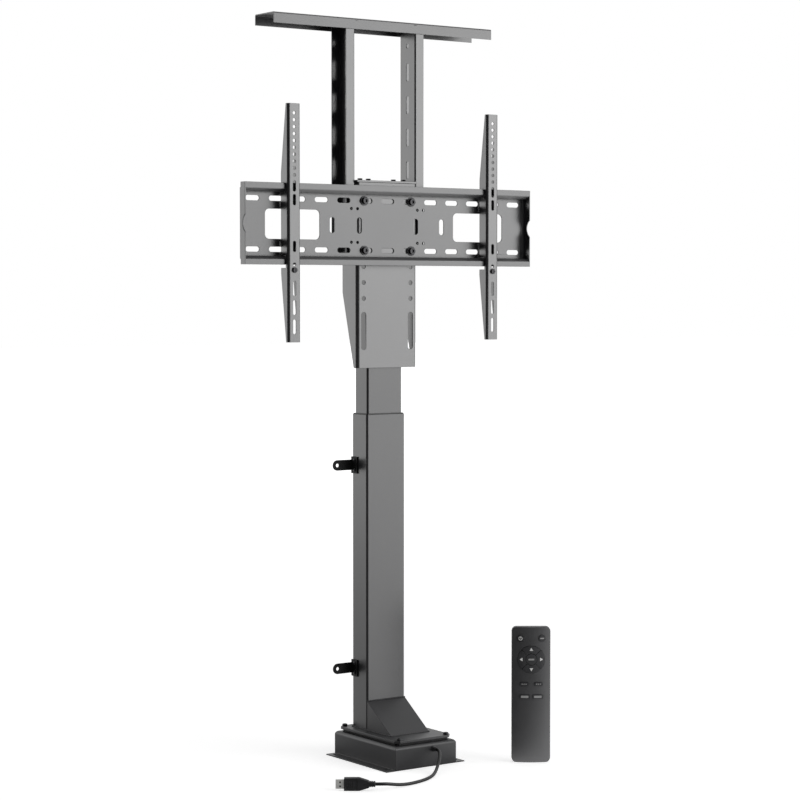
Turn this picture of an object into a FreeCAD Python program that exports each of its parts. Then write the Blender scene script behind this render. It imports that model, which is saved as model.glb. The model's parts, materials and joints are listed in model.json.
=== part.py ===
"""Motorised television mount: a telescopic lift column on a floor box, with a head that
carries a wall plate, two hooked arms and a top support, its lead, and its hand remote.

Millimetres. X runs to the viewer's right, Y to the back, Z up. The origin lies on the floor
in the middle of the floor box, which is also the middle of its four floor holes.
"""
import FreeCAD, Part
import math
import os
import Sketcher

SIZES = {
    # Floor box
    "base_wide": 140,
    "base_deep": 202,
    "base_tall": 45,
    "base_wall": 2,
    "base_round": 7,
    "flange_wide": 20,
    "floor_hole_radius": 3.5,
    "floor_hole_inset": 16,
    "gasket_thick": 4,
    "gasket_inset": 4,
    "plate_thick": 5,
    "plate_inset": 6,
    "plate_end_inset": 4,
    "plate_corner": 8,
    "corner_bolt_inset": 16,
    "corner_bolt_end_inset": 11,
    "corner_bolt_radius": 3.2,
    "corner_head_radius": 5,
    "corner_head_tall": 4,
    "weld_nut_radius": 6.5,
    "weld_nut_tall": 7,
    # Telescopic column
    "column_back": 54,
    "outer_wide": 88,
    "outer_deep": 50,
    "tube_wall": 2,
    "tube_round": 4,
    "stage_step": 4,
    "outer_length": 600,
    "stage_seat": 14,
    "middle_length": 592,
    "inner_seat": 21,
    "lift_down": 380,
    "guide_tall": 30,
    "guide_lip": 2,
    "guide_lip_inset": 1,
    "glide_tall": 40,
    "slide_gap": 0.3,
    # Gusset hood over the motor
    "hood_tall": 55,
    "hood_deep": 80,
    "hood_wall": 2,
    # Drive
    "motor_forward": 50,
    "motor_radius": 16,
    "motor_above": 31,
    "motor_flange_radius": 22,
    "motor_flange_thick": 3,
    "gearhead_tall": 4,
    "shaft_seat": 3,
    "motor_shaft_radius": 3,
    "motor_hole_gap": 1,
    "gear_module": 1.25,
    "gear_teeth": 64,
    "pinion_teeth": 16,
    "gear_tall": 8,
    "gear_low": 26,
    "gear_backlash": 1.4,
    "gear_hub_radius": 9,
    "gear_hub_tall": 4,
    "spindle_radius": 6,
    "spindle_foot_radius": 5,
    "spindle_collar_radius": 10,
    "spindle_collar_tall": 4,
    "spindle_height": 630,
    "driver_radius": 6.9,
    "driver_tall": 16,
    "bearing_tall": 6,
    "bearing_radius": 15,
    "running_gap": 0.05,
    "foot_plate_thick": 6,
    "lower_nut_radius": 11,
    "lower_nut_flange": 3,
    "upper_spindle_radius": 10,
    "upper_spindle_bore": 7.2,
    "upper_spindle_length": 550,
    "inner_nut_tall": 12,
    # Control board
    "board_wide": 110,
    "board_deep": 62,
    "board_thick": 1.6,
    "board_height": 24,
    "board_front_gap": 9,
    "standoff_radius": 3,
    "relay_size": 15,
    "capacitor_radius": 6,
    "capacitor_tall": 14,
    # Fixing tabs behind the column
    "tab_low_height": 168,
    "tab_high_height": 557,
    "tab_sheet": 2.5,
    "tab_reach": 45,
    "tab_tall": 20,
    "tab_hole_radius": 3.5,
    "tab_foot_deep": 20,
    "tab_foot_tall": 32,
    "tab_screw_spread": 9,
    "tab_screw_radius": 3.5,
    "tab_screw_tall": 2,
    # Lead
    "gland_offset": 17,
    "gland_height": 33,
    "gland_flange_radius": 5.5,
    "gland_nut_radius": 5,
    "gland_flange_thick": 2.5,
    "gland_body_radius": 4.5,
    "gland_nose": 4,
    "gland_nut_tall": 5,
    "cord_radius": 3,
    "plug_tall": 23,
    "plug_thick": 13,
    "plug_length": 34,
    "plug_round": 3,
    "relief_length": 22,
    "relief_radius": 6.5,
    "relief_tip_radius": 5.5,
    "shell_tall": 16,
    "shell_thick": 7,
    "shell_length": 15,
    "shell_sheet": 0.8,
    # Head
    "head_height": 1092,
    "head_bottom": 743,
    "head_front": 25,
    "head_wide": 138,
    "head_sheet": 2.5,
    "head_bend_radius": 6.5,
    "cheek_deep": 49,
    "cheek_low_deep": 12,
    "cheek_taper_tall": 142,
    "head_flange_deep": 42,
    "head_flange_gap": 1,
    "head_hole_offset": 54,
    "head_hole_radius": 4.3,
    "head_hole_pitch": 30,
    "head_hole_count": 4,
    "head_slot_high": 812.7,
    "head_slot_long": 71,
    "head_slot_wide": 11,
    "head_plate_thick": 4,
    "head_plate_deep": 56,
    "head_bolt_outer": 50,
    "head_bolt_inner": 29,
    "head_bolt_back": 18,
    "head_bolt_radius": 3,
    "head_bolt_head_radius": 5.5,
    "head_bolt_head_tall": 4,
    "inner_cap_tall": 12,
    # Wall plate
    "wall_wide": 656,
    "wall_tall": 149,
    "wall_middle": 1010.5,
    "wall_deep": 22,
    "wall_sheet": 2,
    "wall_lip_top": 11,
    "wall_lip_low": 10,
    "wall_curl": 6,
    "wall_corner_round": 6,
    "wall_slot_pitch": 50,
    "wall_slot_count": 13,
    "wall_slot_long": 29,
    "wall_slot_wide": 9.5,
    "wall_row_gap": 93,
    "window_middle": 213.5,
    "window_wide": 119,
    "window_tall": 55,
    "window_round": 9,
    "side_slot_outer": 126,
    "side_slot_inner": 65,
    "side_slot_long": 30,
    "side_slot_wide": 10.5,
    "spot_hole_inner": 69,
    "spot_hole_outer": 83,
    "spot_hole_high": 31.5,
    "spot_hole_radius": 2.8,
    "tray_relief_tall": 13,
    "tray_relief_wide": 10,
    "tray_relief_deep": 6.5,
    "tray_relief_slope": 4,
    "bend_radius": 3,
    "notch_radius": 19,
    "notch_out": 10,
    "wall_bolt_radius": 4,
    "wall_washer_radius": 9,
    "wall_washer_thick": 1.6,
    "wall_head_radius": 6.5,
    "wall_head_tall": 5,
    "wall_nut_radius": 6.5,
    "wall_nut_tall": 6.5,
    # Top support
    "post_gap": 0.3,
    "post_sheet": 2,
    "post_deep": 50,
    "post_setback": 31,
    "post_flange": 18,
    "post_low_height": 960,
    "post_slot_long": 34,
    "post_slot_wide": 8.6,
    "post_slot_pitch": 62,
    "post_slot_count": 6,
    "post_slot_height": 1306,
    "post_hole_height": 1356.5,
    "post_bolt_low": 996,
    "post_bolt_radius": 4,
    "post_bolt_head_radius": 7,
    "post_bolt_head_tall": 5,
    "post_bolt_nut_tall": 6,
    "bar_wide": 500,
    "bar_deep": 65,
    "bar_setback": 28,
    "bar_height": 1397,
    "bar_tall": 20,
    "bar_sheet": 2,
    "bar_bolt_spread": 26,
    "bar_bolt_radius": 3,
    "bar_bolt_head_radius": 5.5,
    "bar_bolt_head_tall": 2.5,
    # Arms
    "arm_inset": 100,
    "arm_wide": 27.5,
    "arm_stand_off": 9,
    "arm_sheet": 2,
    "arm_bend_radius": 5,
    "arm_deep": 24.5,
    "arm_end_deep": 8,
    "arm_tall": 435,
    "arm_raise": 1,
    "arm_taper_tall": 125,
    "arm_hook_gap": 0.3,
    "arm_hook_clear": 2,
    "arm_hook_drop": 6,
    "arm_hole_radius": 3.1,
    "arm_hole_pitch": 12.5,
    "arm_hole_count": 10,
    "arm_hole_top": 17.5,
    "arm_slot_long": 27,
    "arm_slot_wide": 6.2,
    "arm_slot_pitch": 35,
    "arm_slot_count": 3,
    "arm_slot_low": 28.5,
    "arm_spare_spread": 42.5,
    "arm_spare_high": 67.5,
    "arm_spare_low": 75,
    "arm_spare_long": 20,
    "lock_screw_below": 10,
    "lock_screw_radius": 3,
    "lock_screw_reach": 22,
    "lock_head_radius": 5,
    "lock_head_tall": 3.5,
    # Remote
    "remote_turn": 35,
    "remote_side_gap": 115,
    "remote_front_gap": 82,
    "remote_wide": 73,
    "remote_tall": 257,
    "remote_deep": 22,
    "remote_split": 9,
    "remote_round": 9,
    "remote_wall": 2.2,
    "key_gap": 0.4,
    "key_proud": 1.2,
    "key_flange": 1.5,
    "key_travel": 1,
    "ring_high": 195.7,
    "ring_radius": 25.5,
    "ring_split": 0.6,
    "centre_key_radius": 10.5,
    "corner_key_radius": 6.5,
    "corner_key_spread": 20.3,
    "corner_key_high": 235.4,
    "small_key_wide": 16,
    "small_key_tall": 7,
    "small_key_spread": 13.5,
    "small_key_high": 149,
    "lower_key_wide": 20,
    "lower_key_tall": 8,
    "lower_key_spread": 12.4,
    "lower_key_high": 125,
    "remote_board_thick": 1.6,
}

# The lead's route, from the mouth of its gland to the back of the plug.
CORD_ROUTE = [
    (17.0, -107.5, 33.0),
    (17.0, -114.5, 33.0),
    (15.2, -121.3, 32.2),
    (11.8, -127.8, 29.8),
    (6.0, -135.5, 24.8),
    (-3.5, -145.5, 16.4),
    (-15.5, -156.5, 9.4),
    (-29.0, -169.0, 5.0),
    (-45.0, -182.5, 3.3),
    (-63.0, -194.5, 3.2),
    (-83.0, -204.0, 3.2),
    (-104.0, -210.0, 3.2),
    (-125.0, -214.0, 3.6),
    (-145.0, -217.0, 5.8),
    (-161.0, -218.5, 9.0),
    (-173.5, -218.3, 11.1),
    (-183.0, -215.5, 11.5),
    (-190.5, -210.0, 11.5),
]


class Size:
    """A length with the spreadsheet expression that gives it."""

    def __init__(self, value, rule):
        self.value = float(value)
        self.rule = rule

    def __add__(self, other):
        return Size(self.value + number(other), f"({self.rule} + {rule(other)})")

    def __sub__(self, other):
        return Size(self.value - number(other), f"({self.rule} - {rule(other)})")

    def __mul__(self, other):
        return Size(self.value * number(other), f"({self.rule} * {rule(other)})")

    def __truediv__(self, other):
        return Size(self.value / number(other), f"({self.rule} / {rule(other)})")

    def __radd__(self, other):
        return Size(number(other) + self.value, f"({rule(other)} + {self.rule})")

    def __rsub__(self, other):
        return Size(number(other) - self.value, f"({rule(other)} - {self.rule})")

    def __rmul__(self, other):
        return Size(number(other) * self.value, f"({rule(other)} * {self.rule})")

    def __neg__(self):
        return Size(-self.value, f"(-{self.rule})")


def number(size):
    """The plain value of a size or a number."""
    return size.value if isinstance(size, Size) else float(size)


def rule(size):
    """The expression of a size or a number."""
    return size.rule if isinstance(size, Size) else repr(float(size))


class Sheet:
    """Reads each size from the spreadsheet by its alias."""

    def __init__(self, sheet):
        for alias in SIZES:
            setattr(self, alias, Size(sheet.get(alias), "sizes." + alias))


def fill_sheet(document):
    """Writes every driving size into its own cell and gives the cell its alias."""
    sheet = document.addObject("Spreadsheet::Sheet", "sizes")
    for row, (alias, value) in enumerate(SIZES.items(), start=1):
        sheet.set(f"A{row}", alias)
        sheet.set(f"B{row}", str(value))
        sheet.setAlias(f"B{row}", alias)
    document.recompute()
    return Sheet(sheet)


doc = FreeCAD.newDocument("television_lift")
s = fill_sheet(doc)
NODES = []

# Heights and places that several sub-parts share.
gasket_low = s.base_tall
plate_low = gasket_low + s.gasket_thick
plate_top = plate_low + s.plate_thick
outer_top = plate_top + s.outer_length
middle_wide = s.outer_wide - 2 * s.stage_step
middle_deep = s.outer_deep - 2 * s.stage_step
inner_wide = middle_wide - 2 * s.stage_step
inner_deep = middle_deep - 2 * s.stage_step
middle_low = plate_top + s.stage_seat + s.lift_down / 2
middle_top = middle_low + s.middle_length
inner_low = plate_top + s.stage_seat + s.inner_seat + s.lift_down
motor_y = s.column_back - s.motor_forward
hood_back = s.column_back - s.outer_deep / 2
wall_front = s.head_front - s.wall_deep
wall_low = s.wall_middle - s.wall_tall / 2
wall_top = s.wall_middle + s.wall_tall / 2
row_high = s.wall_middle + s.wall_row_gap / 2
row_low = s.wall_middle - s.wall_row_gap / 2
arm_x = s.wall_wide / 2 - s.arm_inset
arm_y = wall_front - s.arm_stand_off
arm_z = s.wall_middle + s.arm_raise
lock_screw_z = wall_low - s.lock_screw_below
post_web = s.head_wide / 2 + s.post_gap
post_middle = s.post_setback + s.post_deep / 2
post_top = s.bar_height - s.bar_sheet
spindle_low = s.gear_low - s.gear_hub_tall
gearhead_low = s.base_tall - s.base_wall - s.motor_flange_thick - s.gearhead_tall
collar_low = plate_top + s.bearing_tall + s.slide_gap
lower_nut_top = middle_low + s.foot_plate_thick + s.lower_nut_flange
upper_bearing_top = lower_nut_top + s.bearing_tall
corner_bolt_x = s.base_wide / 2 - s.corner_bolt_inset
corner_bolt_y = s.base_deep / 2 - s.corner_bolt_end_inset
gland_mouth = s.base_deep / 2 + s.gland_flange_thick + s.gland_nose


# Helpers

def bind(thing, path, size):
    """Ties one property of an object to the sheet."""
    thing.setExpression(path, rule(size))


def place(thing, x=0, y=0, z=0):
    """Ties an object's position to the sheet and keeps its turn."""
    for axis, size in zip("xyz", (x, y, z)):
        bind(thing, f"Placement.Base.{axis}", size)
    return thing


def slab(name, x, y, z, wide, deep, tall):
    """A box from its lowest corner."""
    thing = doc.addObject("Part::Box", name)
    for path, size in zip(("Length", "Width", "Height"), (wide, deep, tall)):
        bind(thing, path, size)
    return place(thing, x, y, z)


def block(name, x, y, z, wide, deep, tall):
    """A box that stands on z, centred on x and y."""
    return slab(name, x - wide / 2, y - deep / 2, z, wide, deep, tall)


TURNS = {
    "Z": FreeCAD.Rotation(),
    "Y": FreeCAD.Rotation(FreeCAD.Vector(1, 0, 0), -90),
    "X": FreeCAD.Rotation(FreeCAD.Vector(0, 1, 0), 90),
}


def rod(name, x, y, z, radius, length, along="Z"):
    """A cylinder that starts at a point and runs along an axis."""
    thing = doc.addObject("Part::Cylinder", name)
    thing.Placement = FreeCAD.Placement(FreeCAD.Vector(), TURNS[along])
    bind(thing, "Radius", radius)
    bind(thing, "Height", length)
    return place(thing, x, y, z)


def cone(name, x, y, z, radius, end_radius, length, along="Z"):
    """A cone that starts at a point and runs along an axis."""
    thing = doc.addObject("Part::Cone", name)
    thing.Placement = FreeCAD.Placement(FreeCAD.Vector(), TURNS[along])
    bind(thing, "Radius1", radius)
    bind(thing, "Radius2", end_radius)
    bind(thing, "Height", length)
    return place(thing, x, y, z)


def fuse(name, *pieces):
    """Several pieces as one solid."""
    thing = doc.addObject("Part::MultiFuse", name)
    thing.Shapes = list(pieces)
    thing.Refine = True
    return thing


def cut(name, base, *tools):
    """A base with tools taken out of it."""
    tool = tools[0]
    if len(tools) > 1:
        tool = doc.addObject("Part::MultiFuse", name + "_tools")
        tool.Shapes = list(tools)
    thing = doc.addObject("Part::Cut", name)
    thing.Base = base
    thing.Tool = tool
    return thing


def group(name, *pieces):
    """Separate solids that share one node."""
    thing = doc.addObject("Part::Compound", name)
    thing.Links = list(pieces)
    return thing


def along(edge, axis):
    """Whether an edge is straight and runs along an axis."""
    ends = [vertex.Point for vertex in edge.Vertexes]
    if len(ends) < 2 or edge.Curve.TypeId != "Part::GeomLine":
        return False
    run = (ends[1] - ends[0]).normalize()
    return abs(run.dot(axis)) > 0.999


def soften(name, thing, radius, axis=FreeCAD.Vector(0, 0, 1)):
    """Rounds the edges of a box that run along an axis."""
    doc.recompute()
    thing_edges = enumerate(thing.Shape.Edges, start=1)
    chosen = [index for index, edge in thing_edges if along(edge, axis)]
    rounded = doc.addObject("Part::Fillet", name)
    rounded.Base = thing
    rounded.Edges = [(index, number(radius), number(radius)) for index in chosen]
    return rounded


def publish(name, thing):
    """Gives a finished sub-part its own name."""
    thing.Label = name
    NODES.append(thing)
    return thing


def bolt(name, x, y, z, axis, head_radius, head_tall, shank_radius, shank_long):
    """A screw whose head ends at the point and whose shank runs on along the axis."""
    vector = {"X": (1, 0, 0), "Y": (0, 1, 0), "Z": (0, 0, 1)}[axis.strip("-")]
    sign = -1 if axis.startswith("-") else 1
    head_at = [p - v * (head_tall if sign > 0 else 0) for p, v in zip((x, y, z), vector)]
    shank_at = [p - v * (0 if sign > 0 else shank_long) for p, v in zip((x, y, z), vector)]
    letter = axis.strip("-")
    head = rod(name + "_head", *head_at, head_radius, head_tall, letter)
    shank = rod(name + "_shank", *shank_at, shank_radius, shank_long, letter)
    return fuse(name, head, shank)


# Sketch helpers

def start_body(name, x=0, y=0, z=0):
    """An empty body at its place."""
    return place(doc.addObject("PartDesign::Body", name), x, y, z)


def draw(body, plane, name, offset=0):
    """A sketch on one of the body's own planes, moved along the plane's normal."""
    sketch = body.newObject("Sketcher::SketchObject", name)
    support = [item for item in body.Origin.OriginFeatures if item.Role == plane + "_Plane"]
    sketch.AttachmentSupport = [(support[0], "")]
    sketch.MapMode = "FlatFace"
    bind(sketch, "AttachmentOffset.Base.z", offset)
    return sketch


def hold(sketch, kind, *where, size):
    """One dimension of a sketch, tied to the sheet."""
    index = sketch.addConstraint(Sketcher.Constraint(kind, *where, number(size)))
    bind(sketch, f"Constraints[{index}]", size)


def hold_point(sketch, item, point, x, y):
    """Ties a point of a sketch to its two coordinates."""
    hold(sketch, "DistanceX", -1, 1, item, point, size=x)
    hold(sketch, "DistanceY", -1, 1, item, point, size=y)


def flat(x, y):
    """A sketch point from two sizes."""
    return FreeCAD.Vector(number(x), number(y), 0)


def outline(sketch, points):
    """A closed outline through points, each held by its coordinates."""
    first = sketch.GeometryCount
    count = len(points)
    for here, there in zip(points, points[1:] + points[:1]):
        sketch.addGeometry(Part.LineSegment(flat(*here), flat(*there)))
    for index in range(count):
        following = first + (index + 1) % count
        sketch.addConstraint(Sketcher.Constraint("Coincident", first + index, 2, following, 1))
        hold_point(sketch, first + index, 1, *points[index])


def panel(sketch, x, y, wide, tall):
    """A rectangle centred on a point."""
    left, right = x - wide / 2, x + wide / 2
    low, high = y - tall / 2, y + tall / 2
    outline(sketch, [(left, low), (right, low), (right, high), (left, high)])


def ring(sketch, x, y, radius):
    """A circle."""
    circle = Part.Circle(flat(x, y), FreeCAD.Vector(0, 0, 1), number(radius))
    index = sketch.addGeometry(circle)
    hold_point(sketch, index, 3, x, y)
    hold(sketch, "Radius", index, size=radius)


def arc(x, y, radius, start, stop):
    """An arc between two angles in degrees."""
    circle = Part.Circle(flat(x, y), FreeCAD.Vector(0, 0, 1), number(radius))
    return Part.ArcOfCircle(circle, math.radians(start), math.radians(stop))


def window(sketch, x, y, wide, tall, radius):
    """A rectangle with round corners."""
    first = sketch.GeometryCount
    reach_x, reach_y = wide / 2 - radius, tall / 2 - radius
    corners = [(x + reach_x, y + reach_y, 0), (x - reach_x, y + reach_y, 90),
               (x - reach_x, y - reach_y, 180), (x + reach_x, y - reach_y, 270)]
    for centre_x, centre_y, start in corners:
        sketch.addGeometry(arc(centre_x, centre_y, radius, start, start + 90))
    for index in range(4):
        here = sketch.Geometry[first + index].EndPoint
        there = sketch.Geometry[first + (index + 1) % 4].StartPoint
        sketch.addGeometry(Part.LineSegment(here, there))
    for index, (centre_x, centre_y, start) in enumerate(corners):
        edge = first + 4 + index
        following = first + (index + 1) % 4
        sketch.addConstraint(Sketcher.Constraint("Tangent", first + index, 2, edge, 1))
        sketch.addConstraint(Sketcher.Constraint("Tangent", edge, 2, following, 1))
        hold_point(sketch, first + index, 3, centre_x, centre_y)
        hold(sketch, "Radius", first + index, size=radius)


def slot(sketch, x, y, length, wide, upright=False):
    """A slot with round ends."""
    first = sketch.GeometryCount
    reach = length / 2 - wide / 2
    turn = 90 if upright else 0
    step_x, step_y = (0, reach) if upright else (reach, 0)
    ends = [(x + step_x, y + step_y, turn - 90), (x - step_x, y - step_y, turn + 90)]
    for end_x, end_y, start in ends:
        sketch.addGeometry(arc(end_x, end_y, wide / 2, start, start + 180))
    for index in range(2):
        here = sketch.Geometry[first + index].EndPoint
        there = sketch.Geometry[first + 1 - index].StartPoint
        sketch.addGeometry(Part.LineSegment(here, there))
    for index, (end_x, end_y, start) in enumerate(ends):
        edge = first + 2 + index
        sketch.addConstraint(Sketcher.Constraint("Tangent", first + index, 2, edge, 1))
        sketch.addConstraint(Sketcher.Constraint("Tangent", edge, 2, first + 1 - index, 1))
        hold_point(sketch, first + index, 3, end_x, end_y)
    hold(sketch, "Radius", first, size=wide / 2)


def pad(body, sketch, thick, name, both_ways=False):
    """Adds the sketch's outline as a plate."""
    feature = body.newObject("PartDesign::Pad", name)
    feature.Profile = sketch
    feature.SideType = "Symmetric" if both_ways else "One side"
    bind(feature, "Length", thick)
    return feature


def pierce(body, sketch, name):
    """Cuts the sketch's outline right through, both ways."""
    feature = body.newObject("PartDesign::Pocket", name)
    feature.Profile = sketch
    feature.SideType = "Symmetric"
    feature.Type = "ThroughAll"
    return feature


def sink(body, sketch, depth, name, turned=False):
    """Cuts the sketch's outline to a depth."""
    feature = body.newObject("PartDesign::Pocket", name)
    feature.Profile = sketch
    feature.Reversed = turned
    bind(feature, "Length", depth)
    return feature


def bend(body, feature, name, radius, chosen, axis=FreeCAD.Vector(0, 0, 1)):
    """Rounds a folded sheet's edges: the straight ones along an axis that are chosen."""
    doc.recompute()
    feature_edges = enumerate(feature.Shape.Edges, start=1)
    edges = [f"Edge{index}" for index, edge in feature_edges
             if along(edge, axis) and chosen(edge.BoundBox)]
    rounded = body.newObject("PartDesign::Fillet", name)
    rounded.Base = (feature, edges)
    bind(rounded, "Radius", radius)
    return rounded


def repeat(body, feature, sketch, axis, pitch, count, name, turned=False):
    """Copies a feature along one of its sketch's axes."""
    pattern = body.newObject("PartDesign::LinearPattern", name)
    pattern.Originals = [feature]
    pattern.Direction = (sketch, [axis])
    pattern.Reversed = turned
    bind(pattern, "Length", pitch * (count - 1))
    bind(pattern, "Occurrences", count)
    body.Tip = pattern
    return pattern


def rounded_top(body, feature, name, high, radius):
    """Rounds the edges of a feature that lie flat at one height."""
    doc.recompute()
    edges = [f"Edge{index}" for index, edge in enumerate(feature.Shape.Edges, start=1)
             if abs(edge.BoundBox.ZMin - number(high)) < 0.01
             and abs(edge.BoundBox.ZMax - number(high)) < 0.01]
    rounded = body.newObject("PartDesign::Fillet", name)
    rounded.Base = (feature, edges)
    bind(rounded, "Radius", radius)
    return rounded


# Floor box and mounting plate

def base_box():
    """Folded steel box, open below, with a floor flange on each side and welded nuts."""
    body = start_body("floor_box")
    shape = draw(body, "XY", "floor_box_shape")
    panel(shape, 0, 0, s.base_wide, s.base_deep)
    solid = pad(body, shape, s.base_tall, "floor_box_solid")
    inside = draw(body, "XY", "floor_box_inside")
    panel(inside, 0, 0, s.base_wide - 2 * s.base_wall, s.base_deep - 2 * s.base_wall)
    hollow = sink(body, inside, s.base_tall - s.base_wall, "floor_box_hollow", turned=True)
    room_rim = rounded_top(body, hollow, "floor_box_room_rim", s.base_tall - s.base_wall,
                           s.base_round - s.base_wall)
    rounded_top(body, room_rim, "floor_box_rim", s.base_tall, s.base_round)
    flanges = draw(body, "XY", "floor_flange_shape")
    for side in (-1, 1):
        middle = side * (s.base_wide / 2 + s.flange_wide / 2 - s.base_wall / 2)
        panel(flanges, middle, 0, s.flange_wide + s.base_wall, s.base_deep)
    pad(body, flanges, s.base_wall, "floor_flanges")
    nuts = draw(body, "XY", "weld_nut_shape", s.base_tall - s.base_wall - s.weld_nut_tall)
    for x in (-corner_bolt_x, corner_bolt_x):
        for y in (-corner_bolt_y, corner_bolt_y):
            ring(nuts, x, y, s.weld_nut_radius)
    pad(body, nuts, s.weld_nut_tall, "weld_nuts")
    holes = draw(body, "XY", "floor_box_holes")
    for side in (-1, 1):
        flange_x = side * (s.base_wide / 2 + s.flange_wide / 2)
        for end in (-1, 1):
            hole_y = end * (s.base_deep / 2 - s.floor_hole_inset)
            ring(holes, flange_x, hole_y, s.floor_hole_radius)
            ring(holes, side * corner_bolt_x, end * corner_bolt_y, s.corner_bolt_radius)
    shaft_holes(holes)
    pierce(body, holes, "floor_box_drilled")
    inlet = draw(body, "XZ", "lead_hole_shape", s.base_deep / 2 - 2 * s.base_wall)
    ring(inlet, s.gland_offset, s.gland_height, s.gland_body_radius)
    sink(body, inlet, 3 * s.base_wall, "lead_hole", turned=True)
    return publish("base_box", body)


def shaft_holes(sketch):
    """The holes for the spindle's foot and for the motor."""
    ring(sketch, 0, s.column_back, s.spindle_foot_radius + 1)
    ring(sketch, 0, motor_y, s.motor_radius + s.motor_hole_gap)


def clipped(sketch, wide, deep, corner):
    """A rectangle with its four corners cut off."""
    x, y = wide / 2, deep / 2
    outline(sketch, [(x, corner - y), (x, y - corner), (x - corner, y), (corner - x, y),
                     (-x, y - corner), (-x, corner - y), (corner - x, -y), (x - corner, -y)])


def stacked_plate(name, label, inset, low, thick):
    """A plate on top of the floor box, drilled for its bolts, the spindle and the motor."""
    body = start_body(name, 0, 0, low)
    shape = draw(body, "XY", name + "_shape")
    wide = s.base_wide - 2 * (s.plate_inset + inset)
    deep = s.base_deep - 2 * (s.plate_end_inset + inset)
    clipped(shape, wide, deep, s.plate_corner)
    pad(body, shape, thick, name + "_solid")
    holes = draw(body, "XY", name + "_holes")
    for x in (-corner_bolt_x, corner_bolt_x):
        for y in (-corner_bolt_y, corner_bolt_y):
            ring(holes, x, y, s.corner_bolt_radius)
    shaft_holes(holes)
    pierce(body, holes, name + "_drilled")
    return publish(label, body)


def corner_bolts():
    """Four socket screws that clamp the plate to the box."""
    reach = s.plate_thick + s.gasket_thick + s.base_wall + s.weld_nut_tall
    screws = []
    for index, (side, end) in enumerate(((-1, -1), (1, -1), (-1, 1), (1, 1))):
        name = f"corner_bolt_{index}"
        x, y = side * corner_bolt_x, end * corner_bolt_y
        screw = bolt(name, x, y, plate_top, "-Z", s.corner_head_radius, s.corner_head_tall,
                     s.corner_bolt_radius, reach)
        socket = rod(name + "_socket", x, y, plate_top + s.corner_head_tall / 2,
                     s.corner_head_radius / 2, s.corner_head_tall)
        screws.append(cut(name + "_screw", screw, socket))
    return publish("base_corner_bolts", group("corner_bolt_set", *screws))


def motor_hood():
    """Sloped steel hood in front of the column, over the motor, welded all round."""
    body = start_body("hood", 0, hood_back, plate_top)
    side = draw(body, "YZ", "hood_side")
    outline(side, [(0, 0), (0, s.hood_tall), (-s.hood_deep, 0)])
    pad(body, side, s.outer_wide, "hood_solid", both_ways=True)
    slope = s.hood_wall * 1.5
    inside = draw(body, "YZ", "hood_inside")
    foot = s.hood_deep - slope * 2
    outline(inside, [(1, -1), (1, s.hood_tall - slope), (0, s.hood_tall - slope), (-foot, 0),
                     (-foot, -1)])
    hollow = body.newObject("PartDesign::Pocket", "hood_hollow")
    hollow.Profile = inside
    hollow.SideType = "Symmetric"
    bind(hollow, "Length", s.outer_wide - 2 * s.hood_wall)
    return publish("motor_hood", body)


# Telescopic column

def stage_tube(name, wide, deep, low, tall):
    """A rounded rectangular steel tube of the column, standing on a height."""
    skin = block(name + "_skin", 0, s.column_back, low, wide, deep, tall)
    core = block(name + "_core", 0, s.column_back, low, wide - 2 * s.tube_wall,
                 deep - 2 * s.tube_wall, tall)
    round_skin = soften(name + "_round_skin", skin, s.tube_round)
    round_core = soften(name + "_round_core", core, s.tube_round - s.tube_wall)
    return cut(name + "_section", round_skin, round_core)


def guide(label, wide, deep, top):
    """Plastic guide in a tube's mouth, with a thin lip on the tube's end."""
    name = label + "_piece"
    room_wide, room_deep = wide - 2 * s.tube_wall, deep - 2 * s.tube_wall
    sleeve = soften(name + "_sleeve", block(name + "_sleeve_block", 0, s.column_back,
                    top - s.guide_tall, room_wide, room_deep, s.guide_tall),
                    s.tube_round - s.tube_wall)
    lip = soften(name + "_lip", block(name + "_lip_block", 0, s.column_back, top,
                 wide - 2 * s.guide_lip_inset, deep - 2 * s.guide_lip_inset, s.guide_lip),
                 s.tube_round - s.guide_lip_inset)
    bore_wide = wide - 2 * s.stage_step + 2 * s.slide_gap
    bore_deep = deep - 2 * s.stage_step + 2 * s.slide_gap
    bore = soften(name + "_bore", block(name + "_bore_block", 0, s.column_back,
                  top - s.guide_tall, bore_wide, bore_deep, s.guide_tall + s.guide_lip),
                  s.tube_round)
    return publish(label, cut(name, fuse(name + "_body", sleeve, lip), bore))


def glides(label, wide, deep, low):
    """Plastic sleeve round the foot of a moving tube, sliding inside the next tube."""
    name = label + "_piece"
    room = 2 * (s.stage_step - s.tube_wall - s.slide_gap)
    outside = soften(name + "_outside", block(name + "_outside_block", 0, s.column_back, low,
                     wide + room, deep + room, s.glide_tall), s.tube_round)
    inside = soften(name + "_inside", block(name + "_inside_block", 0, s.column_back, low,
                    wide, deep, s.glide_tall), s.tube_round)
    return publish(label, cut(name, outside, inside))


def outer_tube():
    """The fixed tube of the column, welded on the mounting plate."""
    return publish("outer_tube", stage_tube("outer", s.outer_wide, s.outer_deep, plate_top,
                                            s.outer_length))


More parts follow.
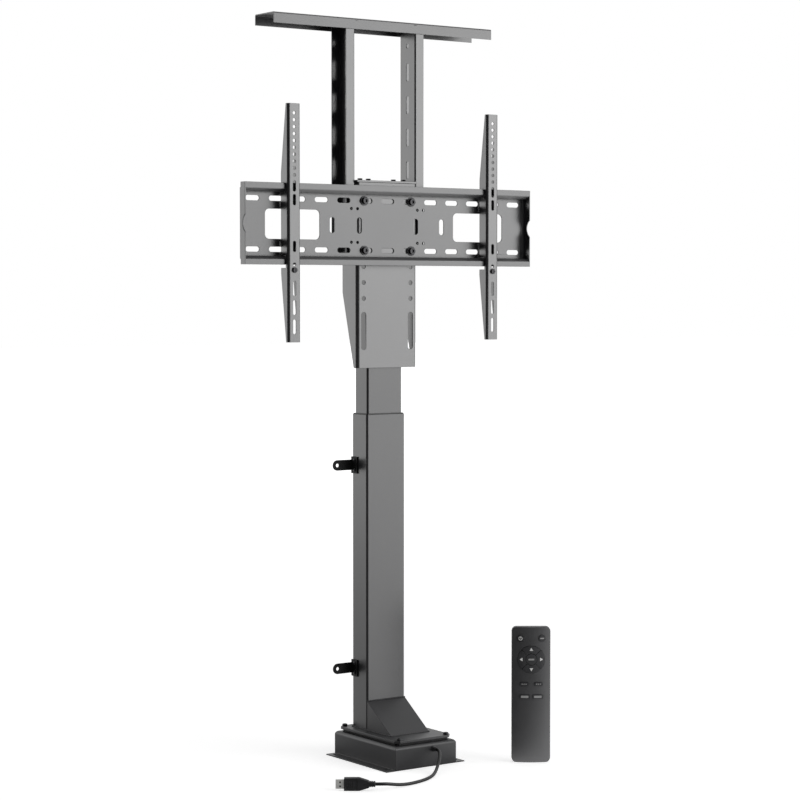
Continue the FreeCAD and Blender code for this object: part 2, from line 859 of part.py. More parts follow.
def middle_stage():
    """The middle tube with its guides, foot plate, nut and bearing."""
    publish("middle_tube", stage_tube("middle", middle_wide, middle_deep, middle_low,
                                      s.middle_length))
    guide("middle_guide", middle_wide, middle_deep, middle_top)
    glides("middle_glides", middle_wide, middle_deep, middle_low)
    room_wide, room_deep = middle_wide - 2 * s.tube_wall, middle_deep - 2 * s.tube_wall
    plate = soften("foot_plate_round", block("foot_plate_block", 0, s.column_back, middle_low,
                   room_wide, room_deep, s.foot_plate_thick), s.tube_round - s.tube_wall)
    opening = rod("foot_plate_opening", 0, s.column_back, middle_low, s.lower_nut_radius,
                  s.foot_plate_thick)
    publish("middle_foot_plate", cut("foot_plate", plate, opening))
    body = rod("lower_nut_body", 0, s.column_back, middle_low, s.lower_nut_radius,
               s.foot_plate_thick + s.lower_nut_flange)
    flange = rod("lower_nut_rim", 0, s.column_back, middle_low + s.foot_plate_thick,
                 s.bearing_radius, s.lower_nut_flange)
    bore = rod("lower_nut_bore", 0, s.column_back, middle_low,
               s.spindle_radius + s.running_gap, s.foot_plate_thick + s.lower_nut_flange)
    publish("lower_nut", cut("lower_nut_piece", fuse("lower_nut_solid", body, flange), bore))
    bearing("upper_bearing", lower_nut_top, s.upper_spindle_bore)


def bearing(label, low, bore_radius):
    """A thrust bearing ring."""
    name = label + "_piece"
    ring_piece = rod(name + "_ring", 0, s.column_back, low, s.bearing_radius, s.bearing_tall)
    bore = rod(name + "_bore", 0, s.column_back, low, bore_radius, s.bearing_tall)
    return publish(label, cut(name, ring_piece, bore))


def lower_spindle():
    """The lower screw: it turns on its bearing and drives the upper one by its key."""
    foot = rod("spindle_foot", 0, s.column_back, spindle_low, s.spindle_foot_radius,
               collar_low - spindle_low)
    collar = rod("spindle_collar", 0, s.column_back, collar_low, s.spindle_collar_radius,
                 s.spindle_collar_tall)
    screw = rod("spindle_screw", 0, s.column_back, collar_low, s.spindle_radius,
                s.spindle_height - collar_low)
    key = rod("spindle_key", 0, s.column_back, s.spindle_height - s.driver_tall, s.driver_radius,
              s.driver_tall)
    return publish("lower_spindle", fuse("spindle_solid", foot, collar, screw, key))


def upper_spindle():
    """The upper screw, a tube that slides over the lower one and turns with it."""
    low = upper_bearing_top + s.slide_gap
    rim = rod("upper_rim", 0, s.column_back, low, s.bearing_radius - 1, s.spindle_collar_tall)
    screw = rod("upper_screw", 0, s.column_back, low, s.upper_spindle_radius,
                s.upper_spindle_length)
    bore = rod("upper_bore", 0, s.column_back, low, s.upper_spindle_bore,
               s.upper_spindle_length)
    return publish("upper_spindle", cut("upper_spindle_piece",
                                        fuse("upper_solid", rim, screw), bore))


def inner_stage():
    """The inner tube with its closed top, glides and nut."""
    tall = s.head_height - inner_low
    tube = stage_tube("inner", inner_wide, inner_deep, inner_low, tall)
    room_wide, room_deep = inner_wide - 2 * s.tube_wall, inner_deep - 2 * s.tube_wall
    cap = soften("inner_cap_round", block("inner_cap", 0, s.column_back,
                 s.head_height - s.inner_cap_tall, room_wide, room_deep, s.inner_cap_tall),
                 s.tube_round - s.tube_wall)
    threads = [rod(f"inner_cap_thread_{index}", side * s.head_bolt_inner,
                   s.head_front + s.head_bolt_back + 3, s.head_height - s.inner_cap_tall,
                   s.head_bolt_radius, s.inner_cap_tall)
               for index, side in enumerate((-1, 1))]
    publish("inner_tube", cut("inner_tube_piece", fuse("inner_closed", tube, cap), *threads))
    glides("inner_glides", inner_wide, inner_deep, inner_low)
    nut = soften("inner_nut_round", block("inner_nut_block", 0, s.column_back, inner_low,
                 room_wide, room_deep, s.inner_nut_tall), s.tube_round - s.tube_wall)
    bore = rod("inner_nut_bore", 0, s.column_back, inner_low,
               s.upper_spindle_radius + s.running_gap, s.inner_nut_tall)
    publish("inner_nut", cut("inner_nut_piece", nut, bore))


# Drive

def toothed(teeth, low, tall):
    """A spur gear's toothed disc about the origin, with straight-sided teeth."""
    count = int(round(number(teeth)))
    module = number(s.gear_module)
    pitch_radius = count * module / 2
    tip = pitch_radius + 0.85 * module
    root = pitch_radius - 1.2 * module
    half_pitch = math.pi * module / 4 - number(s.gear_backlash) / 4
    lean = math.tan(math.radians(20))
    points = []
    for index in range(count):
        middle = 2 * math.pi * index / count
        for radius, side in ((root, -1), (tip, -1), (tip, 1), (root, 1)):
            half = half_pitch - (radius - pitch_radius) * lean
            angle = middle + side * half / radius
            points.append(FreeCAD.Vector(radius * math.cos(angle), radius * math.sin(angle),
                                         number(low)))
    wire = Part.makePolygon(points + points[:1])
    return Part.Face(wire).extrude(FreeCAD.Vector(0, 0, number(tall)))


def drive_gear():
    """The large gear on the spindle's foot, with its hub."""
    disc = toothed(s.gear_teeth, s.gear_low, s.gear_tall)
    hub = Part.makeCylinder(number(s.gear_hub_radius), number(s.gear_hub_tall + s.gear_tall),
                            FreeCAD.Vector(0, 0, number(spindle_low)))
    bore = Part.makeCylinder(number(s.spindle_foot_radius), number(s.gear_low + s.gear_tall),
                             FreeCAD.Vector(0, 0, 0))
    thing = doc.addObject("Part::Feature", "gear_piece")
    thing.Shape = disc.fuse(hub).cut(bore)
    place(thing, 0, s.column_back, 0)
    return publish("drive_gear", thing)


def drive_pinion():
    """The motor's shaft with its pinion, turned by half a tooth so that it meshes."""
    disc = toothed(s.pinion_teeth, s.gear_low, s.gear_tall)
    shaft_low = spindle_low
    shaft_top = gearhead_low + s.shaft_seat
    shaft = Part.makeCylinder(number(s.motor_shaft_radius), number(shaft_top - shaft_low),
                              FreeCAD.Vector(0, 0, number(shaft_low)))
    thing = doc.addObject("Part::Feature", "pinion_piece")
    thing.Shape = disc.fuse(shaft)
    half_tooth = 180 / number(s.pinion_teeth)
    thing.Placement = FreeCAD.Placement(FreeCAD.Vector(), FreeCAD.Rotation(90 + half_tooth, 0, 0))
    place(thing, 0, motor_y, 0)
    return publish("drive_pinion", thing)


def drive_motor():
    """The motor's can, its flange under the box's top and the face of its gearhead."""
    ceiling = s.base_tall - s.base_wall
    can = rod("motor_can", 0, motor_y, ceiling, s.motor_radius, s.motor_above)
    flange = rod("motor_flange", 0, motor_y, ceiling - s.motor_flange_thick,
                 s.motor_flange_radius, s.motor_flange_thick)
    head = rod("motor_gearhead", 0, motor_y, gearhead_low, s.motor_radius, s.gearhead_tall)
    seat = rod("motor_shaft_seat", 0, motor_y, gearhead_low,
               s.motor_shaft_radius + s.running_gap, s.shaft_seat + s.slide_gap)
    return publish("drive_motor", cut("motor_piece", fuse("motor_solid", can, flange, head),
                                      seat))


def control_board():
    """The circuit board on four posts, with relays, a capacitor and the lead's terminal."""
    ceiling = s.base_tall - s.base_wall
    board_y = s.board_front_gap + s.base_wall - s.base_deep / 2 + s.board_deep / 2
    top = s.board_height + s.board_thick
    board = block("board_sheet", 0, board_y, s.board_height, s.board_wide, s.board_deep,
                  s.board_thick)
    posts = [rod(f"board_post_{index}", side * (s.board_wide / 2 - 6),
                 board_y + end * (s.board_deep / 2 - 18), top, s.standoff_radius,
                 ceiling - top)
             for index, (side, end) in enumerate(((-1, -1), (1, -1), (-1, 1), (1, 1)))]
    relays = [block(f"board_relay_{index}", x, board_y + 18, top, s.relay_size,
                    s.relay_size, s.relay_size * 0.8)
              for index, x in enumerate((-38, -20))]
    capacitor = rod("board_capacitor", -10, board_y - 14, top, s.capacitor_radius,
                    s.capacitor_tall)
    terminal = block("board_terminal", s.gland_offset, board_y - 18, top, 12, 8, 5)
    return publish("control_board", fuse("board_solid", board, *posts, *relays, capacitor,
                                         terminal))


# Fixing tabs and their screws

def wall_tab(label, high):
    """An angle bracket on the column's side, flush with its back, with a round drilled end."""
    name = label + "_piece"
    column_side = s.outer_wide / 2
    column_rear = s.column_back + s.outer_deep / 2
    body = start_body(name, -column_side, column_rear, high)
    tongue = draw(body, "XZ", name + "_tongue")
    end_radius = s.tab_tall / 2
    reach = s.tab_reach - end_radius
    slot(tongue, -s.tab_reach / 2, 0, s.tab_reach, s.tab_tall)
    pad(body, tongue, s.tab_sheet, name + "_tongue_plate")
    root = draw(body, "XZ", name + "_root")
    panel(root, -end_radius / 2, 0, end_radius, s.tab_tall)
    pad(body, root, s.tab_sheet, name + "_root_plate")
    foot = draw(body, "YZ", name + "_foot", -s.tab_sheet)
    panel(foot, -s.tab_foot_deep / 2, 0, s.tab_foot_deep, s.tab_foot_tall)
    pad(body, foot, s.tab_sheet, name + "_foot_plate")
    eye = draw(body, "XZ", name + "_eye")
    ring(eye, -reach, 0, s.tab_hole_radius)
    pierce(body, eye, name + "_eye_hole")
    return publish(label, body)


def tab_screws():
    """Two flat screws through the foot of each tab."""
    screws = []
    foot_face = -(s.outer_wide / 2 + s.tab_sheet)
    foot_y = s.column_back + s.outer_deep / 2 - s.tab_foot_deep / 2 - s.tab_sheet / 2
    for index, (high, end) in enumerate(((s.tab_low_height, -1), (s.tab_low_height, 1),
                                         (s.tab_high_height, -1), (s.tab_high_height, 1))):
        screws.append(rod(f"tab_screw_{index}", foot_face - s.tab_screw_tall, foot_y,
                          high + end * s.tab_screw_spread, s.tab_screw_radius,
                          s.tab_screw_tall, "X"))
    return publish("wall_tab_screws", group("tab_screw_set", *screws))


# Lead and plug

def cord_gland():
    """Moulded gland in the box's front, with its nut inside and a tapered nose outside."""
    x, z = s.gland_offset, s.gland_height
    front = -s.base_deep / 2
    body = rod("gland_body", x, front, z, s.gland_body_radius,
               s.base_wall + s.gland_nut_tall, "Y")
    flange = rod("gland_flange", x, front - s.gland_flange_thick, z, s.gland_flange_radius,
                 s.gland_flange_thick, "Y")
    nut = rod("gland_nut", x, front + s.base_wall, z, s.gland_nut_radius,
              s.gland_nut_tall, "Y")
    nose = cone("gland_nose_cone", x, -gland_mouth, z, s.cord_radius + 0.6,
                s.gland_body_radius, s.gland_nose, "Y")
    return publish("cord_gland", fuse("gland_solid", body, flange, nut, nose))


def rounded_path(points):
    """Straight runs joined by tangent arcs, each as large as its two runs allow."""
    corners = [FreeCAD.Vector(*point) for point in points]
    edges = []
    radii = []
    start = corners[0]
    for before, here, after in zip(corners, corners[1:], corners[2:]):
        into, out = here - before, after - here
        turn = into.getAngle(out)
        radius = 0.45 * min(into.Length, out.Length) / math.tan(turn / 2)
        setback = radius * math.tan(turn / 2)
        into.normalize()
        out.normalize()
        first = here - into * setback
        last = here + out * setback
        inward = (out - into).normalize()
        middle = here + inward * (radius / math.cos(turn / 2) - radius)
        edges.append(Part.LineSegment(start, first).toShape())
        edges.append(Part.Arc(first, middle, last).toShape())
        radii.append(radius)
        start = last
    edges.append(Part.LineSegment(start, corners[-1]).toShape())
    return Part.Wire(edges), radii


def power_cord():
    """The lead as a round tube along its route."""
    path, radii = rounded_path(CORD_ROUTE)
    radius = number(s.cord_radius)
    start, ahead = (FreeCAD.Vector(*point) for point in CORD_ROUTE[:2])
    section = Part.Wire(Part.makeCircle(radius, start, ahead - start))
    tube = path.makePipeShell([section], True, False)
    ideal = math.pi * radius ** 2 * path.Length
    print(f"lead {path.Length:.1f} mm, volume {tube.Volume / ideal:.4f} of section x length")
    print("lead radii", " ".join(f"{value:.0f}" for value in radii))
    thing = doc.addObject("Part::Feature", "cord_piece")
    thing.Shape = tube
    return publish("power_cord", place(thing))


def plug():
    """The flat plug at the lead's end, standing on its edge, and its metal shell."""
    tip, back = (FreeCAD.Vector(*point) for point in (CORD_ROUTE[-1], CORD_ROUTE[-2]))
    heading = math.degrees(math.atan2(tip.y - back.y, tip.x - back.x))
    middle = s.plug_tall / 2
    relief = cone("relief_cone", 0, 0, middle, s.relief_tip_radius, s.relief_radius,
                  s.relief_length, "X")
    grip_block = slab("grip_block", s.relief_length, -s.plug_thick / 2, 0, s.plug_length,
                      s.plug_thick, s.plug_tall)
    grip = soften("grip", grip_block, s.plug_round, FreeCAD.Vector(1, 0, 0))
    shell_start = s.relief_length + s.plug_length
    skin = slab("shell_skin", shell_start, -s.shell_thick / 2, middle - s.shell_tall / 2,
                s.shell_length, s.shell_thick, s.shell_tall)
    core = slab("shell_core", shell_start + s.shell_sheet,
                s.shell_sheet - s.shell_thick / 2, middle - s.shell_tall / 2 + s.shell_sheet,
                s.shell_length, s.shell_thick - 2 * s.shell_sheet,
                s.shell_tall - 2 * s.shell_sheet)
    for label, thing in (("plug_body", fuse("plug_solid", relief, grip)),
                         ("plug_shell", cut("shell_piece", skin, core))):
        thing.Placement = FreeCAD.Placement(FreeCAD.Vector(tip.x, tip.y, 0),
                                            FreeCAD.Rotation(heading, 0, 0))
        publish(label, thing)


# Head

def head_bracket():
    """Channel of bent sheet that hangs from the head plate in front of the column."""
    tall = s.head_height - s.head_bottom
    half = s.head_wide / 2
    body = start_body("bracket", 0, s.head_front, s.head_bottom)
    fold = draw(body, "XY", "bracket_fold")
    inside = half - s.head_sheet
    outline(fold, [(-half, 0), (half, 0), (half, s.cheek_deep), (inside, s.cheek_deep),
                   (inside, s.head_sheet), (-inside, s.head_sheet), (-inside, s.cheek_deep),
                   (-half, s.cheek_deep)])
    channel = pad(body, fold, tall, "bracket_channel")
    folded = bend(body, channel, "bracket_bends", s.head_bend_radius,
                  lambda box: abs(box.YMax) < 0.01)
    bend(body, folded, "bracket_inner_bends", s.head_bend_radius - s.head_sheet,
         lambda box: abs(box.YMax - number(s.head_sheet)) < 0.01)
    taper = draw(body, "YZ", "bracket_taper")
    beyond = s.cheek_deep + 5
    outline(taper, [(s.cheek_low_deep, 0), (s.cheek_deep, s.cheek_taper_tall),
                    (beyond, s.cheek_taper_tall), (beyond, -5), (s.cheek_low_deep, -5)])
    pierce(body, taper, "bracket_tapered")
    tube_side = inner_wide / 2 + s.head_flange_gap
    tube_front = s.column_back - inner_deep / 2 - s.head_front - s.head_flange_gap
    lugs = draw(body, "XY", "bracket_lugs", tall - s.head_sheet)
    outline(lugs, [(-inside, s.head_sheet), (inside, s.head_sheet),
                   (inside, s.head_flange_deep), (tube_side, s.head_flange_deep),
                   (tube_side, tube_front), (-tube_side, tube_front),
                   (-tube_side, s.head_flange_deep), (-inside, s.head_flange_deep)])
    pad(body, lugs, s.head_sheet, "bracket_top_flange")
    bracket_holes(body)
    return publish("head_bracket", body)


def bracket_holes(body):
    """Bolt rows, height slots and the holes in the cheeks and the top flange."""
    rows = draw(body, "XZ", "bracket_rows")
    slots = draw(body, "XZ", "bracket_slots")
    upper = draw(body, "XZ", "bracket_upper_row")
    tops = draw(body, "XY", "bracket_top_holes")
    for side in (-1, 1):
        x = side * s.head_hole_offset
        ring(rows, x, row_low - s.head_bottom, s.head_hole_radius)
        ring(upper, x, row_high - s.head_bottom, s.head_hole_radius)
        slot(slots, x, s.head_slot_high - s.head_bottom, s.head_slot_long, s.head_slot_wide,
             upright=True)
        ring(tops, side * s.head_bolt_outer, s.head_bolt_back, s.head_bolt_radius)
    first = pierce(body, rows, "bracket_row")
    repeat(body, first, rows, "V_Axis", s.head_hole_pitch, s.head_hole_count,
           "bracket_row_copies", turned=True)
    pierce(body, upper, "bracket_upper_holes")
    pierce(body, slots, "bracket_slot_holes")
    pierce(body, tops, "bracket_top_drilled")
    cheeks = draw(body, "YZ", "bracket_cheek_holes")
    for step in range(2):
        high = s.post_bolt_low + step * s.post_slot_pitch - s.head_bottom
        ring(cheeks, post_middle - s.head_front, high, s.post_bolt_radius)
    pierce(body, cheeks, "bracket_cheeks_drilled")


def head_top_plate():
    """Black cap plate that closes the inner tube and carries the bracket."""
    wide = s.head_wide
    front = s.head_front - 1
    plate = slab("cap_plate", -wide / 2, front, s.head_height, wide, s.head_plate_deep,
                 s.head_plate_thick)
    holes = [rod(f"cap_hole_{index}", x, y, s.head_height, s.head_bolt_radius,
                 s.head_plate_thick)
             for index, (x, y) in enumerate(head_bolt_places())]
    return publish("head_top_plate", cut("cap_plate_piece", plate, *holes))


def head_bolt_places():
    """Two outer bolts into the bracket and two inner ones into the tube's closed top."""
    places = []
    for side in (-1, 1):
        places.append((side * s.head_bolt_outer, s.head_front + s.head_bolt_back))
        places.append((side * s.head_bolt_inner, s.head_front + s.head_bolt_back + 3))
    return places


def head_top_bolts():
    """Four bolts down through the cap plate."""
    top = s.head_height + s.head_plate_thick
    bolts = [bolt(f"head_bolt_{index}", x, y, top, "-Z", s.head_bolt_head_radius,
                  s.head_bolt_head_tall, s.head_bolt_radius,
                  s.head_plate_thick + s.head_sheet + 4)
             for index, (x, y) in enumerate(head_bolt_places())]
    return publish("head_top_bolts", group("head_bolt_set", *bolts))


# Wall plate

def wall_plate():
    """Pressed tray with hooked rails above and below, slotted and windowed."""
    body = start_body("tray", 0, s.head_front, s.wall_middle)
    half_tall = s.wall_tall / 2
    profile = draw(body, "XZ", "tray_face")
    panel(profile, 0, 0, s.wall_wide, s.wall_tall)
    solid = pad(body, profile, s.wall_deep, "tray_solid")
    doc.recompute()
    upright = FreeCAD.Vector(0, 0, 1)
    rear = [f"Edge{index}" for index, edge in enumerate(solid.Shape.Edges, start=1)
            if along(edge, upright) and edge.BoundBox.YMax > -0.01]
    corners = body.newObject("PartDesign::Fillet", "tray_corners")
    corners.Base = (solid, rear)
    bind(corners, "Radius", s.wall_corner_round)
    inner_face = s.wall_deep - s.wall_sheet
    inside = draw(body, "XZ", "tray_inside", inner_face)
    panel(inside, 0, 0, s.wall_wide - 2 * s.wall_sheet, s.wall_tall - 2 * s.wall_sheet)
    hollow = sink(body, inside, s.wall_deep - 2 * s.wall_sheet, "tray_hollow")
    doc.recompute()
    inner_rear = [f"Edge{index}" for index, edge in enumerate(hollow.Shape.Edges, start=1)
                  if along(edge, upright) and abs(edge.BoundBox.YMax + number(s.wall_sheet)) < 0.01
                  and abs(edge.BoundBox.XMax) > number(s.wall_wide) / 2 - number(s.wall_sheet) - 0.01]
    bends = body.newObject("PartDesign::Fillet", "tray_inner_corners")
    bends.Base = (hollow, inner_rear)
    bind(bends, "Radius", s.wall_corner_round - s.wall_sheet)
    mouth = draw(body, "XZ", "tray_mouth", s.wall_deep)
    mouth_low, mouth_high = s.wall_lip_low - half_tall, half_tall - s.wall_lip_top
    panel(mouth, 0, (mouth_low + mouth_high) / 2, s.wall_wide - 2 * s.wall_sheet,
          mouth_high - mouth_low)
    sink(body, mouth, s.wall_sheet, "tray_opened")
    tray_curls(body, mouth_low, mouth_high)
    tray_slots(body)
    tray_reliefs(body)
    notch = draw(body, "YZ", "tray_notch_shape")
    ring(notch, -(s.wall_deep + s.notch_out), 0, s.notch_radius)
    pierce(body, notch, "tray_notches")
    return publish("wall_plate", body)


def tray_curls(body, mouth_low, mouth_high):
    """Turns the rails' free edges back towards the tray's face, at 45 degrees."""
    curls = draw(body, "YZ", "tray_curl_shape")
    front, turn = -s.wall_deep, s.wall_curl
    skew = s.wall_sheet / math.sqrt(2)
    for edge, way in ((mouth_high, -1), (mouth_low, 1)):
        root = edge - way * (2 * skew - s.wall_sheet)
        outline(curls, [(front, edge), (front + turn, edge + way * turn),
                        (front + turn + skew, edge + way * (turn - skew)),
                        (front + s.wall_sheet, root), (front, root)])
    curled = pad(body, curls, s.wall_wide - 2 * s.wall_sheet, "tray_curls", both_ways=True)
    heights = number(mouth_low), number(mouth_high)
    bend(body, curled, "tray_curl_bends", s.bend_radius,
         lambda box: abs(box.YMax + number(s.wall_deep)) < 0.01
         and min(abs(box.ZMax - high) for high in heights) < 0.01, FreeCAD.Vector(1, 0, 0))


def tray_slots(body):
    """Two rows of slots, two windows and four upright slots."""
    row = draw(body, "XZ", "tray_slot_pair")
    first_x = -s.wall_slot_pitch * (s.wall_slot_count - 1) / 2
    for end in (-1, 1):
        slot(row, first_x, end * s.wall_row_gap / 2, s.wall_slot_long, s.wall_slot_wide)
    first = sink(body, row, s.wall_sheet * 2, "tray_first_slots", turned=True)
    first.SideType = "Symmetric"
    repeat(body, first, row, "H_Axis", s.wall_slot_pitch, s.wall_slot_count, "tray_slots")
    openings = draw(body, "XZ", "tray_openings")
    for side in (-1, 1):
        window(openings, side * s.window_middle, 0, s.window_wide, s.window_tall,
               s.window_round)
        for x in (s.side_slot_outer, s.side_slot_inner):
            slot(openings, side * x, 0, s.side_slot_long, s.side_slot_wide, upright=True)
        for x in (s.spot_hole_outer, s.spot_hole_inner):
            for end in (-1, 1):
                ring(openings, side * x, end * s.spot_hole_high, s.spot_hole_radius)
    windows = sink(body, openings, s.wall_sheet * 2, "tray_windows", turned=True)
    windows.SideType = "Symmetric"


def tray_reliefs(body):
    """Cuts the four rear corners, where the folds of the sheet meet."""
    height, deep, wide = s.wall_tall / 2, s.tray_relief_deep, s.tray_relief_wide
    foot = height - s.tray_relief_tall
    for side, word in ((-1, "left"), (1, "right")):
        name = f"tray_relief_{word}"
        corners = draw(body, "YZ", name + "_shape", side * (s.wall_wide / 2 - wide))
        for end in (-1, 1):
            outline(corners, [(1, end * foot), (1, end * (height + 1)),
                              (-deep, end * (height + 1)),
                              (-deep, end * (foot + s.tray_relief_slope))])
        sink(body, corners, wide + s.wall_sheet, name, turned=side > 0)


def wall_bolts():
    """Four bolts with washers through the tray and the bracket, and their nuts behind."""
    face = s.head_front - s.wall_sheet
    bolts = []
    nuts = []
    reach = s.wall_sheet + s.head_sheet
    for index, (side, high) in enumerate(((-1, row_high), (1, row_high), (-1, row_low),
                                          (1, row_low))):
        x = side * s.head_hole_offset
        washer = rod(f"wall_washer_{index}", x, face - s.wall_washer_thick, high,
                     s.wall_washer_radius, s.wall_washer_thick, "Y")
        head = bolt(f"wall_bolt_{index}", x, face - s.wall_washer_thick, high, "Y",
                    s.wall_head_radius, s.wall_head_tall, s.wall_bolt_radius,
                    reach + s.wall_washer_thick + s.wall_nut_tall)
        socket = rod(f"wall_socket_{index}", x,
                     face - s.wall_washer_thick - s.wall_head_tall, high,
                     s.wall_head_radius / 2, s.wall_head_tall / 2, "Y")
        bolts.append(cut(f"wall_screw_{index}", fuse(f"wall_bolt_washer_{index}", head, washer),
                         socket))
        nut = rod(f"wall_nut_{index}", x, s.head_front + s.head_sheet, high,
                  s.wall_nut_radius, s.wall_nut_tall, "Y")
        thread = rod(f"wall_nut_thread_{index}", x, s.head_front + s.head_sheet, high,
                     s.wall_bolt_radius, s.wall_nut_tall, "Y")
        nuts.append(cut(f"wall_nut_ring_{index}", nut, thread))
    publish("wall_plate_bolts", group("wall_bolt_set", *bolts))
    publish("wall_plate_nuts", group("wall_nut_set", *nuts))


# Top support

def support_post(side, label):
    """Slotted channel beside the bracket, with its flanges turned outward."""
    name = label + "_piece"
    body = start_body(name, side * post_web, s.post_setback, s.post_low_height)
    tall = post_top - s.post_low_height
    reach = side * (s.post_sheet + s.post_flange)
    web = side * s.post_sheet
    back = s.post_deep - s.post_sheet
    fold = draw(body, "XY", name + "_fold")
    outline(fold, [(0, 0), (reach, 0), (reach, s.post_sheet), (web, s.post_sheet),
                   (web, back), (reach, back), (reach, s.post_deep), (0, s.post_deep)])
    channel = pad(body, fold, tall, name + "_channel")
    bend(body, channel, name + "_bends", s.bend_radius,
         lambda box: abs(box.XMax - box.XMin) < 0.01 and abs(box.XMax) < 0.01)
    lid = draw(body, "XY", name + "_lid", tall - s.post_sheet)
    panel(lid, reach / 2, s.post_deep / 2, s.post_sheet + s.post_flange, s.post_deep)
    pad(body, lid, s.post_sheet, name + "_top")
    slots = draw(body, "YZ", name + "_slot_shape")
    slot(slots, s.post_deep / 2, s.post_slot_height - s.post_low_height, s.post_slot_long,
         s.post_slot_wide, upright=True)
    first = pierce(body, slots, name + "_first_slot")
    repeat(body, first, slots, "V_Axis", s.post_slot_pitch, s.post_slot_count,
           name + "_slots", turned=True)
    hole = draw(body, "YZ", name + "_hole_shape")
    ring(hole, s.post_deep / 2, s.post_hole_height - s.post_low_height, s.post_slot_wide / 2)
    pierce(body, hole, name + "_hole")
    bolts = draw(body, "XY", name + "_bolt_shape", tall - s.post_sheet)
    for end in (-1, 1):
        ring(bolts, reach / 2, s.post_deep / 2 + end * s.bar_bolt_spread / 2,
             s.bar_bolt_radius)
    sink(body, bolts, s.post_sheet, name + "_bolt_holes", turned=True)
    return publish(label, body)


def post_bolts():
    """Two bolts on each side, through the post's slots into nuts inside the cheeks."""
    pieces = []
    outer_face = post_web + s.post_sheet + s.slide_gap
    cheek_inside = s.head_wide / 2 - s.head_sheet
    places = [(side, step) for side in (-1, 1) for step in (0, 1)]
    for index, (side, step) in enumerate(places):
        high = s.post_bolt_low + step * s.post_slot_pitch
        axis = "X" if side < 0 else "-X"
        head = bolt(f"post_bolt_{index}", side * outer_face, post_middle, high, axis,
                    s.post_bolt_head_radius, s.post_bolt_head_tall, s.post_bolt_radius,
                    outer_face - cheek_inside + s.post_bolt_nut_tall)
        nut_x = side * cheek_inside - (s.post_bolt_nut_tall if side > 0 else 0)
        nut = rod(f"post_nut_{index}", nut_x, post_middle, high, s.post_bolt_head_radius,
                  s.post_bolt_nut_tall, "X")
        pieces.append(fuse(f"post_bolt_nut_{index}", head, nut))
    return publish("post_bolts", group("post_bolt_set", *pieces))


def top_bar():
    """Inverted channel across the posts, open at both ends."""
    body = start_body("bar", 0, s.bar_setback, s.bar_height)
    fold = draw(body, "YZ", "bar_fold")
    sheet, deep, tall = s.bar_sheet, s.bar_deep, s.bar_tall
    outline(fold, [(0, 0), (0, -tall), (sheet, -tall), (sheet, -sheet),
                   (deep - sheet, -sheet), (deep - sheet, -tall), (deep, -tall), (deep, 0)])
    channel = pad(body, fold, s.bar_wide, "bar_channel", both_ways=True)
    bend(body, channel, "bar_bends", s.bend_radius, lambda box: abs(box.ZMin) < 0.01,
         FreeCAD.Vector(1, 0, 0))
    holes = draw(body, "XY", "bar_holes", -sheet)
    for x, y in bar_bolt_places():
        ring(holes, x, y - s.bar_setback, s.bar_bolt_radius)
    sink(body, holes, sheet, "bar_drilled", turned=True)
    return publish("top_bar", body)


def bar_bolt_places():
    """The bolts that join the bar to the posts' tops."""
    x = post_web + (s.post_sheet + s.post_flange) / 2
    return [(side * x, post_middle + end * s.bar_bolt_spread / 2)
            for side in (-1, 1) for end in (-1, 1)]


def top_bar_bolts():
    """Four low screws from below, through the posts' tops, flush with the bar."""
    bolts = [bolt(f"bar_bolt_{index}", x, y, post_top - s.post_sheet, "Z",
                  s.bar_bolt_head_radius, s.bar_bolt_head_tall, s.bar_bolt_radius,
                  s.post_sheet + s.bar_sheet)
             for index, (x, y) in enumerate(bar_bolt_places())]
    return publish("top_bar_bolts", group("bar_bolt_set", *bolts))


# Arms

def arm(side, label):
    """Tapered channel that hooks over the tray's two rails."""
    name = label + "_piece"
    half = s.arm_tall / 2
    body = start_body(name, side * arm_x, arm_y, arm_z)
    shape = draw(body, "YZ", name + "_side")
    outline(shape, [(0, -half), (0, half), (s.arm_end_deep, half),
                    (s.arm_deep, half - s.arm_taper_tall),
                    (s.arm_deep, s.arm_taper_tall - half), (s.arm_end_deep, -half)])
    solid = pad(body, shape, s.arm_wide, name + "_solid", both_ways=True)
    bend(body, solid, name + "_bends", s.arm_bend_radius, lambda box: abs(box.YMax) < 0.01)
    channel = draw(body, "XY", name + "_channel_shape")
    window(channel, 0, s.arm_sheet + s.arm_deep / 2, s.arm_wide - 2 * s.arm_sheet, s.arm_deep,
           s.arm_bend_radius - s.arm_sheet)
    pierce(body, channel, name + "_channel")
    hooks = draw(body, "YZ", name + "_hook_shape")
    lip_front = wall_front - arm_y - s.arm_hook_gap
    top, low = wall_top - arm_z, wall_low - arm_z
    clear = s.wall_curl + s.arm_hook_clear
    for start, stop in ((top - s.wall_lip_top - clear, top + s.arm_hook_gap),
                        (low - s.arm_hook_drop, low + s.wall_lip_low + clear)):
        outline(hooks, [(lip_front, start), (s.arm_deep + 5, start),
                        (s.arm_deep + 5, stop), (lip_front, stop)])
    pierce(body, hooks, name + "_hooks")
    arm_holes(body, name, half)
    return publish(label, body)


